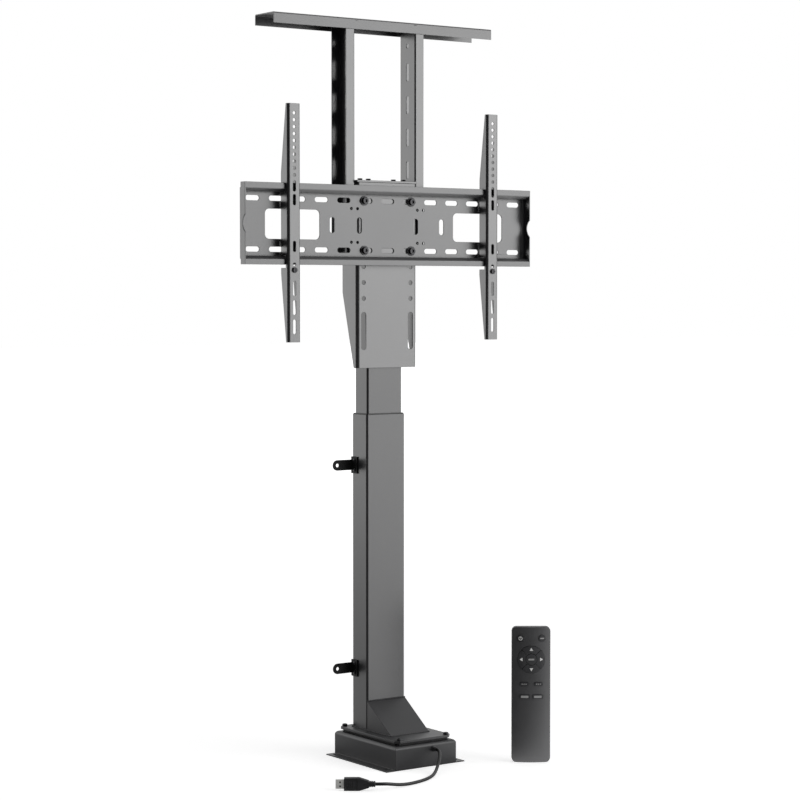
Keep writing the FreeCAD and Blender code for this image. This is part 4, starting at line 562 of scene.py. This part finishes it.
# %% Bolt the posts and the bar
POST_SIDE, POST_DEPTH, POST_ROWS = 71.6, 56, (996, 1058)
post_nut = smooth(ease(hexagon(-11, -5.2, radius=7), 0.15, 2))
post_screw = join([hex_screw(head_radius=6.2, head_tall=5, shank_radius=4, shank_long=11.1,
                             flange=7), post_nut])
post_places = [(side * POST_SIDE, POST_DEPTH, z, way) for side, way in ((-1, "-X"), (1, "+X"))
               for z in POST_ROWS]
install(spread(post_screw, post_places), "post_hex_screws", "post_bolts", black_oxide)
BAR_FLANGE_LOW, BAR_SCREW_X = 1393, 79.3
bar_places = [(x, y, BAR_FLANGE_LOW, "-Z") for x in (-BAR_SCREW_X, BAR_SCREW_X)
              for y in (43, 69)]
bar_screw = cap_screw(head_radius=5.5, head_tall=2.5, shank_radius=3, shank_long=4)
install(spread(bar_screw, bar_places), "top_bar_low_screws", "top_bar_bolts", black_oxide)

# %% Screw the tabs and arms
TAB_FACE, TAB_DEPTH, TAB_HEIGHTS, TAB_STEP = -46.5, 67.75, (168, 557), 9
tab_head = smooth(ease(turned((0, 3.5), [(0.9, 3.5), (1.6, 2.8), (2, 1.6)]), 0.1, 2))
tab_places = [(TAB_FACE, TAB_DEPTH, high + step, "-X") for high in TAB_HEIGHTS
              for step in (-TAB_STEP, TAB_STEP)]
install(spread(tab_head, tab_places), "tab_button_screws", "wall_tab_screws", black_oxide)

ARM_X, ARM_FRONT, LOCK_HIGH = 228, -6, 926
CROSS_LONG, CROSS_WIDE, CROSS_DEEP = 6, 1.1, 2.4
for side, word in ((-1, "left"), (1, "right")):
    lock = turned((-22, 2.2), [(-21.2, 3), (0, 3), (0, 5), (2.6, 5), (3.2, 4.4), (3.5, 3.4)])
    for turn in (0, math.pi / 2):
        bpy.ops.mesh.primitive_cube_add(
            size=1, location=(0, 0, 3.5 * mm), rotation=(0, 0, turn),
            scale=(CROSS_LONG * mm, CROSS_WIDE * mm, CROSS_DEEP * mm))
        carve(lock, bpy.context.active_object)
    lock = spread(smooth(ease(lock, 0.1, 2)), [(side * ARM_X, ARM_FRONT, LOCK_HIGH, "-Y")])
    install(lock, f"cross_lock_screw_{word}", f"arm_lock_screw_{word}", black_oxide)

# %% [markdown]
# ## Weld beads
# The column and the hood are welded to the mounting plate. A welder's bead is a row of small
# overlapping puddles, so one flattened ball is repeated along each seam.

# %% Weld the seams
PUDDLE_PITCH = 1.3


def weld_seam(start, stop, radius=1.7):
    """A row of overlapping puddles between two points, in millimetres."""
    run = Vector(stop) - Vector(start)
    count = int(run.length / PUDDLE_PITCH) + 1
    bpy.ops.mesh.primitive_uv_sphere_add(segments=10, ring_count=6, radius=radius * mm,
                                         location=Vector(start) * mm)
    puddle = bpy.context.active_object
    puddle.scale = [1 if abs(part) < 0.5 else 0.8 for part in run.normalized()]
    settle(puddle)
    add_modifier(puddle, "ARRAY", count=count, use_relative_offset=False,
                 use_constant_offset=True, constant_offset_displace=run * mm / (count - 1))
    return smooth(puddle, 60)


SIDE_SEAM, ACROSS, SEAM_HIGH = 44.3, 43, 54.4
BEHIND, BEFORE, ON_HOOD = (79.3, SEAM_HIGH, 1.7), (-51, 54.3, 1.7), (28.7, 109.2, 1.4)
seams = [weld_seam((x, -49, SEAM_HIGH), (x, 79, SEAM_HIGH)) for x in (-SIDE_SEAM, SIDE_SEAM)]
for y, z, radius in (BEHIND, BEFORE, ON_HOOD):
    seams.append(weld_seam((-ACROSS, y, z), (ACROSS, y, z), radius))
install(join(seams), "column_weld_beads", "outer_tube", base_coat, stands_for=False)

# %% [markdown]
# ## Gland
# A moulded gland grips the lead where it leaves the box: a nut inside, a round flange outside and
# a tapered nose whose rings let it bend without a kink.

# %% Mould the gland
RIB_SHARE, RIB_EDGE = 0.62, 0.985         # how much of a pitch is rib, and its taper
GROOVE_START, GROOVE_END = 0.84, 0.82     # a groove's radius, as shares of its rib's


def ribs(low, high, first, last, count):
    """Steps of a tapered sleeve cut by grooves."""
    steps = []
    pitch = (high - low) / count
    for index in range(count):
        share = index / (count - 1)
        radius = first + (last - first) * share
        height = low + index * pitch
        groove = height + pitch * RIB_SHARE
        steps += [(height, radius), (groove, radius * RIB_EDGE),
                  (groove, radius * GROOVE_START), (height + pitch, radius * GROOVE_END)]
    return steps


GLAND_PLACE = (17, -101, 33, "-Y")
gland = turned((-7, 4.2), [(-6.6, 4.5), (0, 4.5), (0, 5.5), (1.8, 5.5), (2.5, 4.9)]
               + ribs(low=2.5, high=9.5, first=4.6, last=3.9, count=4)
               + [(9.5, 3.6), (10.3, 3.3)])
gland = join([gland, hexagon(-7, -2, 5)])
gland = spread(smooth(ease(gland, 0.12, 2)), [GLAND_PLACE])
install(gland, "ribbed_gland", "cord_gland", plug_pvc)

# %% [markdown]
# ## Plug
# The plug is overmoulded: a flat grip that tapers into a ribbed sleeve, with a folded shell of
# plated steel in front. It is built along X at the origin and then turned to where the lead ends.

# %% Place the plug
LEAD_TIP = Vector(LEAD_ROUTE[-1])
LAST_RUN = LEAD_TIP - Vector(LEAD_ROUTE[-2])
PLUG_TURN = math.atan2(LAST_RUN.y, LAST_RUN.x)


def at_lead_end(piece):
    """Moves a piece built along X to the lead's end."""
    piece.rotation_euler = (0, 0, PLUG_TURN)
    piece.location = (LEAD_TIP.x * mm, LEAD_TIP.y * mm, 0)
    return settle(piece)


def block(low, high):
    """A box between two corners in millimetres."""
    low, high = Vector(low), Vector(high)
    bpy.ops.mesh.primitive_cube_add(size=1, location=(low + high) / 2 * mm,
                                    scale=(high - low) * mm)
    return settle(bpy.context.active_object)


# %% Select by a test
def pick(piece, kind, chosen):
    """Selects the faces or the edges that pass a test, and stays in edit mode."""
    only(piece)
    bpy.ops.object.mode_set(mode="EDIT")
    bpy.ops.mesh.select_mode(type=kind)
    bpy.ops.mesh.select_all(action="DESELECT")
    bpy.ops.object.mode_set(mode="OBJECT")
    for part in piece.data.polygons if kind == "FACE" else piece.data.edges:
        part.select = chosen(part)
    bpy.ops.object.mode_set(mode="EDIT")


# %% Mould the grip
GRIP_SIDE, GRIP_TALL, GRIP_BACK, GRIP_FRONT = 6.5, 23, 29, 56
PANEL_START, PANEL_RIM, PANEL_SLOPE, PANEL_DEEP = 35, 3.4, 0.5, 0.7
PLUG_HIGH = GRIP_TALL / 2
# each step of the taper: how far back, and how much narrower and lower
TAPER = ((15, 0.9, 0.6), (3, 0.9, 0.86))
grip = block((GRIP_BACK, -GRIP_SIDE, 0), (GRIP_FRONT, GRIP_SIDE, GRIP_TALL))
pick(grip, "FACE", lambda face: face.normal.x < -0.9)
end = GRIP_BACK
for reach, narrower, lower in TAPER:
    end -= reach
    bpy.ops.mesh.extrude_region_move(TRANSFORM_OT_translate={"value": (-reach * mm, 0, 0)})
    bpy.ops.transform.resize(value=(1, narrower, lower),
                             center_override=(end * mm, 0, PLUG_HIGH * mm))
bpy.ops.object.mode_set(mode="OBJECT")
pick(grip, "FACE", lambda face: abs(face.normal.y) > 0.9 and face.center.x > PANEL_START * mm)
bpy.ops.mesh.inset(thickness=PANEL_RIM * mm, depth=0)
bpy.ops.mesh.inset(thickness=PANEL_SLOPE * mm, depth=-PANEL_DEEP * mm)
bpy.ops.object.mode_set(mode="OBJECT")
ease(grip, 1.1, 4, 40)
print("grip of", len(grip.data.polygons), "faces")

# %% Add its ridges and its sleeve
RIDGE_START, RIDGE_PITCH, RIDGE_WIDE, RIDGE_OUT = 38.2, 3.7, 1.8, 0.55
RIDGE_LOW, RIDGE_TOP = 6, 17
ridges = []
for y in (-6.1, 6.1):
    for index in range(4):
        x = RIDGE_START + index * RIDGE_PITCH
        ridge = block((x, y - RIDGE_OUT, RIDGE_LOW), (x + RIDGE_WIDE, y + RIDGE_OUT, RIDGE_TOP))
        ridges.append(ease(ridge, 0.45))
sleeve = turned((0, 4.6), [(0.8, 5.4)] + ribs(low=1.2, high=22, first=5.5, last=6.4, count=7)
                + [(24, 5.6)])
sleeve.rotation_euler = FACING["+X"]
sleeve.location = (0, 0, PLUG_HIGH * mm)
ease(settle(sleeve), 0.15, 2)
grip = at_lead_end(smooth(join([grip, sleeve] + ridges)))
install(grip, "plug_grip", "plug_body", plug_pvc)

# %% Fold the shell
SHELL_SIDE, SHELL_LOW, SHELL_HIGH, SHELL_END = 3.5, 3.5, 19.5, 71
SHELL_WALL, SHELL_DEEP = 0.8, 14
shell = block((GRIP_FRONT, -SHELL_SIDE, SHELL_LOW), (SHELL_END, SHELL_SIDE, SHELL_HIGH))
pick(shell, "FACE", lambda face: face.normal.x > 0.9)
bpy.ops.mesh.inset(thickness=SHELL_WALL * mm, depth=0)
bpy.ops.mesh.extrude_region_move(TRANSFORM_OT_translate={"value": (-SHELL_DEEP * mm, 0, 0)})
bpy.ops.object.mode_set(mode="OBJECT")
WINDOW_BACK, WINDOW_FRONT, WINDOW_TALL = 61.5, 64.3, 3.2
for low in (6.2, 13.4):
    for y in (-3.1, 3.1):
        carve(shell, block((WINDOW_BACK, y - 0.7, low),
                           (WINDOW_FRONT, y + 0.7, low + WINDOW_TALL)))
fold_line = block((57, -3.7, 11.4), (71.5, -3.1, 11.6))
carve(shell, fold_line)
ease(shell, 0.25)
shell = at_lead_end(smooth(shell))
install(shell, "folded_plug_shell", "plug_shell", nickel)
tongue = at_lead_end(smooth(ease(block((57, 0.2, 5.2), (70, 2.2, 17.8)), 0.3)))
install(tongue, "plug_tongue", "plug_shell", plug_pvc, stands_for=False)

# %% [markdown]
# ## Remote
# Two moulded halves meet in a fine seam. The front is crowned from side to side, so it is what a
# rounded slab and a wide cylinder have in common, and its keys are cut by a slightly wider one,
# which leaves them standing out by the same amount everywhere. It is built upright at the origin.

# %% Round a slab
def rounded_slab(low, high, radius, segments=8):
    """A box between two corners whose edges along Y are rounded."""
    slab = block(low, high)

    def runs_along_y(edge):
        start, stop = (slab.data.vertices[index].co for index in edge.vertices)
        return abs((stop - start).normalized().y) > 0.99

    pick(slab, "EDGE", runs_along_y)
    bpy.ops.mesh.bevel(offset=radius * mm, segments=segments, affect="EDGES")
    bpy.ops.object.mode_set(mode="OBJECT")
    return slab


# %% Crown a piece and turn a pin
REMOTE_SIDE, REMOTE_TALL, REMOTE_ROUND = 36.5, 257, 9
CROWN, CROWN_PAST = 120, 71.5    # the front's radius, and how far past the remote it is cut


def crown(piece, inset=0.0):
    """Keeps what lies inside the crowned front, moved inward by an inset."""
    drum = upright(CROWN - inset, -CROWN_PAST, REMOTE_TALL + CROWN_PAST, sides=320, y=CROWN)
    return carve(piece, drum, "INTERSECT")


def pin(x, z, radius, low, high, sides=48):
    """A round bar along Y."""
    bpy.ops.mesh.primitive_cylinder_add(vertices=sides, radius=radius * mm,
                                        depth=(high - low) * mm,
                                        location=(x * mm, (low + high) / 2 * mm, z * mm),
                                        rotation=(math.pi / 2, 0, 0))
    return settle(bpy.context.active_object)


# %% Stand the remote beside the lift
REMOTE_PLACE, REMOTE_DEGREES = (185, -183), -35


def stand_remote(piece):
    """Turns a piece toward the camera and moves it beside the lift."""
    piece.rotation_euler = (0, 0, math.radians(REMOTE_DEGREES))
    piece.location = (REMOTE_PLACE[0] * mm, REMOTE_PLACE[1] * mm, 0)
    return settle(piece)


# %% Mould the front shell
RING_HIGH, RING_RADIUS, ROUND_HIGH, ROUND_X = 195.7, 25.5, 235.4, 20.3
SMALL_HIGH, SMALL_X, LOWER_HIGH, LOWER_X = 149, 13.5, 125, 12.4
ROUND_KEYS = {"key_centre": (0, RING_HIGH, 10.5), "key_top_left": (-ROUND_X, ROUND_HIGH, 6.5),
              "key_top_right": (ROUND_X, ROUND_HIGH, 6.5)}
BAR_KEYS = {"key_small_left": (-SMALL_X, SMALL_HIGH, 16, 7),
            "key_small_right": (SMALL_X, SMALL_HIGH, 16, 7),
            "key_lower_left": (-LOWER_X, LOWER_HIGH, 20, 8),
            "key_lower_right": (LOWER_X, LOWER_HIGH, 20, 8)}
BAR_ROUND = 0.4    # a bar key's corner radius, as a share of its height
SEAM, SEAM_GAP, WALL, KEY_GAP, HOLE_FRONT, HOLE_BACK = 9, 0.1, 2.2, 0.4, -3, 6
HOLLOW_SIDE, HOLLOW_TOP, HOLLOW_ROUND = REMOTE_SIDE - WALL, REMOTE_TALL - WALL, REMOTE_ROUND - WALL

front = crown(rounded_slab((-REMOTE_SIDE, 0, 0), (REMOTE_SIDE, SEAM - SEAM_GAP, REMOTE_TALL),
                           REMOTE_ROUND))
front = ease(front, 1.2, 4, 40)
carve(front, crown(rounded_slab((-HOLLOW_SIDE, 1, WALL), (HOLLOW_SIDE, 12, HOLLOW_TOP),
                                HOLLOW_ROUND), WALL))
carve(front, pin(0, RING_HIGH, RING_RADIUS + KEY_GAP, HOLE_FRONT, HOLE_BACK))
for name, (x, z, radius) in ROUND_KEYS.items():
    if name != "key_centre":
        carve(front, pin(x, z, radius + KEY_GAP, HOLE_FRONT, HOLE_BACK))
for name, (x, z, wide, tall) in BAR_KEYS.items():
    across, up = wide / 2 + KEY_GAP, tall / 2 + KEY_GAP
    carve(front, rounded_slab((x - across, HOLE_FRONT, z - up), (x + across, HOLE_BACK, z + up),
                              tall * BAR_ROUND, 5))
install(stand_remote(smooth(ease(front, 0.12, 2, 50))), "remote_front_half",
        "remote_front_shell", remote_abs)

# %% Mould the back shell
BACK_FACE, BACK_ROUND, DOOR_LINE = 22, 4.5, 0.6
DOOR_SIDE, DOOR_LOW, DOOR_TOP, DOOR_ROUND = 25, 22, 112, 5
back = rounded_slab((-REMOTE_SIDE, SEAM + SEAM_GAP, 0), (REMOTE_SIDE, BACK_FACE, REMOTE_TALL),
                    REMOTE_ROUND)
pick(back, "FACE", lambda face: face.normal.y > 0.9)
bpy.ops.mesh.bevel(offset=BACK_ROUND * mm, segments=6, affect="EDGES")
bpy.ops.object.mode_set(mode="OBJECT")
carve(back, rounded_slab((-HOLLOW_SIDE, 8, WALL), (HOLLOW_SIDE, 17.5, HOLLOW_TOP), HOLLOW_ROUND))
door = rounded_slab((-DOOR_SIDE, 21.3, DOOR_LOW), (DOOR_SIDE, 23, DOOR_TOP), DOOR_ROUND)
carve(door, rounded_slab((-DOOR_SIDE + DOOR_LINE, 20, DOOR_LOW + DOOR_LINE),
                         (DOOR_SIDE - DOOR_LINE, 24, DOOR_TOP - DOOR_LINE),
                         DOOR_ROUND - DOOR_LINE))
carve(back, door)
THUMB_SIDE, THUMB_TALL, THUMB_ROWS = 12, 1.6, (97, 100.2, 103.4, 106.6)
ridges = [ease(block((-THUMB_SIDE, 21.6, low), (THUMB_SIDE, 22.4, low + THUMB_TALL)), 0.35)
          for low in THUMB_ROWS]
back = join([ease(back, 0.15, 2, 50)] + ridges)
install(stand_remote(smooth(back)), "remote_back_half", "remote_back_shell", remote_abs)

# %% Cut the remote's board
board = rounded_slab((-25, 5.1, 12), (25, 6.7, 245), radius=2)
board = smooth(ease(board, 0.2, 2))
install(stand_remote(board), "remote_circuit_board", "remote_board", solder_mask)

# %% [markdown]
# ## Keys and their marks
# Each key is a silicone cap with a soft edge. The marks are thin printed shapes without words,
# trimmed to a film on the key's crowned face.

# %% Mould the keys
KEY_OUT, KEY_FRONT, KEY_BACK = 1.2, -1.6, 3.4


def finish_key(piece, name):
    """Crowns a key, softens its edge and puts it in place."""
    piece = ease(crown(piece, -KEY_OUT), 0.45, 3, 50)
    install(stand_remote(smooth(piece)), name + "_cap_piece", name, key_rubber)


for name, (x, z, radius) in ROUND_KEYS.items():
    finish_key(pin(x, z, radius, KEY_FRONT, KEY_BACK), name)
for name, (x, z, wide, tall) in BAR_KEYS.items():
    finish_key(rounded_slab((x - wide / 2, KEY_FRONT, z - tall / 2),
                            (x + wide / 2, KEY_BACK, z + tall / 2), tall * BAR_ROUND, 5), name)
RING_BORE, SECTOR_GAP = 11.3, 0.3
for index, name in enumerate(("key_right", "key_up", "key_left", "key_down")):
    sector = pin(0, RING_HIGH, RING_RADIUS, KEY_FRONT, KEY_BACK, 96)
    carve(sector, pin(0, RING_HIGH, RING_BORE, -3, 5, 96))
    quarter = block((SECTOR_GAP, -3, SECTOR_GAP), (60, 5, 60))
    quarter.rotation_euler = (0, math.radians(45 - 90 * index), 0)
    quarter.location = (0, 0, RING_HIGH * mm)
    finish_key(carve(sector, settle(quarter), "INTERSECT"), name)


# %% Print the marks
MARK_FILM = -1.32    # a mark stands this far out, and its key a little less
OUT = -4             # in front of every key


def key_face(x):
    """How far back the keys' crowned face lies at a place across, in millimetres."""
    return CROWN - math.sqrt((CROWN + KEY_OUT) ** 2 - x ** 2)


def print_mark(piece, name, node, ink=mark_ink):
    """Trims a mark to a film on its key's crowned face and puts it in place."""
    film = ease(crown(piece, MARK_FILM), 0.05, 2, 50)
    install(stand_remote(smooth(film)), name, node, ink, stands_for=False)


ARROW_REACH, ARROW_RADIUS = 18.4, 3.9
for index, name in enumerate(("right", "up", "left", "down")):
    angle = math.radians(90 * index)
    x, z = ARROW_REACH * math.cos(angle), RING_HIGH + ARROW_REACH * math.sin(angle)
    arrow = pin(0, 0, ARROW_RADIUS, OUT, key_face(x) + 0.4, 3)
    arrow.rotation_euler = (0, math.radians(90 - 90 * index), 0)
    arrow.location = (x * mm, 0, z * mm)
    print_mark(settle(arrow), "arrow_mark_" + name, "key_" + name)
MIDDLE_SIDE, MIDDLE_UP = 5.6, 1.6
middle = rounded_slab((-MIDDLE_SIDE, OUT, RING_HIGH - MIDDLE_UP),
                      (MIDDLE_SIDE, -0.8, RING_HIGH + MIDDLE_UP), radius=1, segments=4)
print_mark(middle, "centre_mark", "key_centre", grey_ink)

# %% Print the upper row
POWER_RADIUS, POWER_BORE, DASH_SIDE, DASH_UP = 3.7, 2.5, 3.8, 1.2
side_face = key_face(ROUND_X)
power = pin(-ROUND_X, ROUND_HIGH, POWER_RADIUS, OUT, side_face + 0.8)
carve(power, pin(-ROUND_X, ROUND_HIGH, POWER_BORE, OUT - 1, side_face + 1))
carve(power, block((-ROUND_X - 1.1, OUT - 1, ROUND_HIGH + 0.6),
                   (-ROUND_X + 1.1, side_face + 1, ROUND_HIGH + 4.6)))
stroke = block((-ROUND_X - 0.6, OUT, ROUND_HIGH), (-ROUND_X + 0.6, side_face + 0.8, ROUND_HIGH + 4))
print_mark(join([power, stroke]), "power_mark", "key_top_left")
dash = rounded_slab((ROUND_X - DASH_SIDE, OUT, ROUND_HIGH - DASH_UP),
                    (ROUND_X + DASH_SIDE, side_face + 0.9, ROUND_HIGH + DASH_UP), 0.8, 4)
print_mark(dash, "dash_mark", "key_top_right", grey_ink)

# %% Print the lower rows
DOT_APART, DOT_RADIUS, BAR_SIDE, BAR_UP = 3.6, 1.1, 7, 2.1
for side, word in ((-1, "left"), (1, "right")):
    marks = [pin(side * SMALL_X + step, SMALL_HIGH, DOT_RADIUS, OUT, key_face(SMALL_X) + 0.9, 24)
             for step in (-DOT_APART, 0, DOT_APART)]
    print_mark(join(marks), "dot_mark_" + word, "key_small_" + word, grey_ink)
    x = side * LOWER_X
    low_mark = rounded_slab((x - BAR_SIDE, OUT, LOWER_HIGH - BAR_UP),
                            (x + BAR_SIDE, key_face(LOWER_X) + 1.2, LOWER_HIGH + BAR_UP), 0.9, 4)
    print_mark(low_mark, "bar_mark_" + word, "key_lower_" + word, grey_ink)

# %% [markdown]
# ## Motor and circuit board
# Both hang under the box's top and show from below: the motor's flange with its screws, and the
# board with its soldered side down, its relays, its capacitor and the terminal for the lead.

# %% Build the motor
MOTOR_PLACE = (0, 4, 0, "+Z")
SCREW_REACH, SCREW_RADIUS, SCREW_LOW, SCREW_TOP = 18.8, 2.3, 38.8, 40.2
motor = turned((36, 15.2), [(36.6, 16), (40, 16), (40, 22), (43, 22), (43, 16), (70, 16),
                            (72.5, 15), (74, 12)], sides=64)
drill(motor, radius=3.05, low=30, high=39.3)
for degrees in (45, 135, 225, 315):
    angle = math.radians(degrees)
    screw = upright(SCREW_RADIUS, SCREW_LOW, SCREW_TOP, sides=24,
                    x=SCREW_REACH * math.cos(angle), y=SCREW_REACH * math.sin(angle))
    motor = join([motor, screw])
motor = spread(smooth(ease(motor, 0.3, 2)), [MOTOR_PLACE])
install(motor, "gear_motor", "drive_motor", motor_paint)

# %% Cut the board and stand its posts
BOARD_SIDE, BOARD_FRONT, BOARD_BACK, BOARD_LOW, BOARD_TOP, POST_TOP = 55, -90, -28, 24, 25.6, 43
sheet = rounded_slab((-BOARD_SIDE, BOARD_FRONT, BOARD_LOW), (BOARD_SIDE, BOARD_BACK, BOARD_TOP),
                     radius=0.5, segments=2)
install(smooth(ease(sheet, 0.25, 2)), "control_board_sheet", "control_board", solder_mask)
posts = spread(turned((BOARD_TOP, 3), [(POST_TOP, 3)], 6),
               [(x, y, 0, "+Z") for y in (-72, -46) for x in (-49, 49)])
install(smooth(ease(posts, 0.2, 2)), "board_posts", "control_board", nut_brass,
        stands_for=False)

# %% Populate the board
RELAY_HALF, RELAY_FRONT, RELAY_BACK, RELAY_TALL = 7.5, -48.5, -33.5, 12
relays = [ease(block((x - RELAY_HALF, RELAY_FRONT, BOARD_TOP),
                     (x + RELAY_HALF, RELAY_BACK, BOARD_TOP + RELAY_TALL)), 0.6)
          for x in (-38, -20)]
install(smooth(join(relays)), "board_relays", "control_board", relay_blue, stands_for=False)
capacitor = turned((BOARD_TOP, 5.4), [(26.4, 6), (27.4, 6), (27.9, 5.6), (28.4, 6), (38.8, 6),
                                      (39.6, 5.4), (39.3, 4.6)])
capacitor.location = (-10 * mm, -73 * mm, 0)
terminal = block((11, -81, BOARD_TOP), (23, -73, BOARD_TOP + 5))
for x in (14, 20):
    carve(terminal, block((x - 1.6, -82, BOARD_TOP + 1), (x + 1.6, -78, BOARD_TOP + 4)))
parts = [settle(capacitor), ease(terminal, 0.3, 2)]
parts += [ease(block((x, -62, BOARD_TOP), (x + 12, -54, BOARD_TOP + 2.8)), 0.3, 2)
          for x in (2, 24)]
install(smooth(join(parts)), "board_parts", "control_board", guide_nylon, stands_for=False)
dot = turned((22.9, 0.5), [(23.3, 0.9), (24.1, 1.3)], 12)
dots = [(x, y, 0, "+Z") for y in (-84, -79, -66, -60, -50, -44, -36) for x in range(-48, 49, 6)]
install(smooth(spread(dot, dots), 60), "solder_joints", "control_board", bright_steel,
        stands_for=False)

# %% [markdown]
# ## The lead
# The lead was drawn first. Now that its plug is there, it takes its jacket, rides on the stand
# and stands for the solid cord.

# %% Finish the lead
paint(lead, lead_jacket)
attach(lead, "stand")
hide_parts("power_cord")

# %% [markdown]
# ## Studio
# The floor is white and keeps the object's shadow. Large soft lamps stand on the right in front,
# one above the other, and on the left behind, so that the satin steel mirrors them. Between them
# the studio is dark where the camera stands, and that dark end draws the thin black line down
# every bend. A glowing floor would fill those lines with light, so what the steel mirrors is a
# floor that is dim on the dark side and bright toward the lamps in front.

# %% Darken one end of the studio
DARK_WAY = (-0.839, -0.545, 0.0)
BRIGHT_WAY = (0.63, -0.78, 0.0)
FADE_START, FADE_END = 0.3, 0.6     # cosines of 73 and 53 degrees


def dark_end(owner, way, dim):
    """A brightness of 1 that falls to a dim one toward the studio's dark end."""
    side = add_node(owner, "VectorMath", {1: DARK_WAY}, {0: way}, operation="DOT_PRODUCT")
    return add_node(owner, "MapRange", {"From Min": FADE_START, "From Max": FADE_END,
                                        "To Min": 1.0, "To Max": dim},
                    {"Value": side.outputs["Value"]})


# %% Paint the floor as the camera sees it
WHITE = (1, 1, 1, 1)
FLOOR_WHITE = "#e6e6e6"
GLOW_NEAR, GLOW_FAR = (0.8, 0.6), (7.0, 1.0)    # a distance in metres and the glow there
floor_paint = bpy.data.materials.new("white_studio_floor")
floor_paint.use_nodes = True
floor_nodes = floor_paint.node_tree
floor_nodes.nodes.remove(surface_of(floor_paint))
floor_place = add_node(floor_paint, "TexCoord").outputs["Object"]
floor_rays = add_node(floor_paint, "LightPath")
floor_diffuse = add_node(floor_paint, "BsdfDiffuse", {"Color": colour(FLOOR_WHITE)})
floor_reach = add_node(floor_paint, "VectorMath", None, {0: floor_place}, operation="LENGTH")
floor_fade = add_node(floor_paint, "MapRange", {"From Min": GLOW_NEAR[0], "To Min": GLOW_NEAR[1],
                                                "From Max": GLOW_FAR[0], "To Max": GLOW_FAR[1]},
                      {"Value": floor_reach.outputs["Value"]})
floor_glow = add_node(floor_paint, "Emission", {"Color": WHITE},
                      {"Strength": floor_fade.outputs["Result"]})
floor_both = add_node(floor_paint, "AddShader", None, {0: floor_diffuse.outputs[0],
                                                       1: floor_glow.outputs[0]})
floor_plain = add_node(floor_paint, "MixShader", None, {0: floor_rays.outputs["Is Camera Ray"],
                                                        1: floor_diffuse.outputs[0],
                                                        2: floor_both.outputs[0]})
print("floor painted", FLOOR_WHITE)

# %% Paint the floor as the steel mirrors it
FLOOR_DIM = 0.12
FLOOR_MIDDLE = (0.1, 0.05, 0.0)
SHEEN_BACK, SHEEN_FRONT = 0.9, 2.5
floor_from = add_node(floor_paint, "VectorMath", {1: FLOOR_MIDDLE}, {0: floor_place},
                      operation="SUBTRACT")
floor_way = add_node(floor_paint, "VectorMath", None, {0: floor_from.outputs["Vector"]},
                     operation="NORMALIZE").outputs["Vector"]
floor_dark = dark_end(floor_paint, floor_way, FLOOR_DIM)
floor_side = add_node(floor_paint, "VectorMath", {1: BRIGHT_WAY}, {0: floor_way},
                      operation="DOT_PRODUCT")
floor_lamp = add_node(floor_paint, "MapRange", {"From Min": -1.0, "From Max": 1.0,
                                                "To Min": SHEEN_BACK, "To Max": SHEEN_FRONT},
                      {"Value": floor_side.outputs["Value"]})
floor_sheen = add_node(floor_paint, "Math", None, {0: floor_dark.outputs["Result"],
                                                   1: floor_lamp.outputs["Result"]},
                       operation="MULTIPLY")
floor_mirror = add_node(floor_paint, "Emission", {"Color": WHITE},
                        {"Strength": floor_sheen.outputs["Value"]})
floor_mix = add_node(floor_paint, "MixShader", None, {0: floor_rays.outputs["Is Glossy Ray"],
                                                      1: floor_plain.outputs[0],
                                                      2: floor_mirror.outputs[0]})
floor_nodes.links.new(floor_mix.outputs[0], floor_nodes.nodes["Material Output"].inputs[0])
print("floor painted for reflections, dim side", FLOOR_DIM)

# %% Lay the floor
bpy.ops.mesh.primitive_plane_add(size=60, location=(0, 0, 0))
floor = bpy.context.active_object
floor.name = "studio_floor"
paint(floor, floor_paint)
print("floor laid,", tuple(floor.dimensions[:2]), "m")

# %% Hang the lamps
LAMP_AIM = Vector((0, 0, 0.9))


def softbox(name, place, wide, tall, radiance):
    """A large soft lamp, turned to the middle of the lift."""
    bpy.ops.object.light_add(type="AREA", location=place)
    lamp = bpy.context.active_object
    lamp.name = name
    lamp.data.shape = "RECTANGLE"
    lamp.data.size = wide
    lamp.data.size_y = tall
    lamp.data.energy = radiance * math.pi * wide * tall
    heading = LAMP_AIM - Vector(place)
    lamp.rotation_euler = heading.to_track_quat("-Z", "Y").to_euler()
    print(name, round(lamp.data.energy, 1), "W")


softbox("right_front_softbox", (2.18, -2.70, 1.25), 2.9, 2.4, 1.9)
softbox("high_front_softbox", (2.10, -2.60, 1.75), 2.8, 1.5, 1.8)
softbox("left_back_softbox", (-2.0, 2.85, 1.11), 2.4, 2.2, 1.32)

# %% Light the room
ROOM_LIGHT = 0.4    # on what is matt, while a mirror sees the dark end
world = bpy.data.worlds.new("white_studio")
bpy.context.scene.world = world
world.use_nodes = True
room_place = add_node(world, "TexCoord")
room_dark = dark_end(world, room_place.outputs["Generated"], 0.0)
room_rays = add_node(world, "LightPath")
room_seen = add_node(world, "Mix", {"A": ROOM_LIGHT},
                     {"Factor": room_rays.outputs["Is Glossy Ray"],
                      "B": room_dark.outputs["Result"]})
room_clear = add_node(world, "Math", None, {0: room_rays.outputs["Is Camera Ray"],
                                            1: room_rays.outputs["Is Transmission Ray"]},
                      operation="MAXIMUM")
room_final = add_node(world, "Mix", {"B": 1.0}, {"Factor": room_clear.outputs["Value"],
                                                 "A": room_seen.outputs["Result"]})
backdrop = world.node_tree.nodes["Background"]
backdrop.inputs["Color"].default_value = WHITE
world.node_tree.links.new(room_final.outputs["Result"], backdrop.inputs["Strength"])
bpy.context.scene.view_settings.view_transform = "Standard"
print("studio ready, light in the room", ROOM_LIGHT)
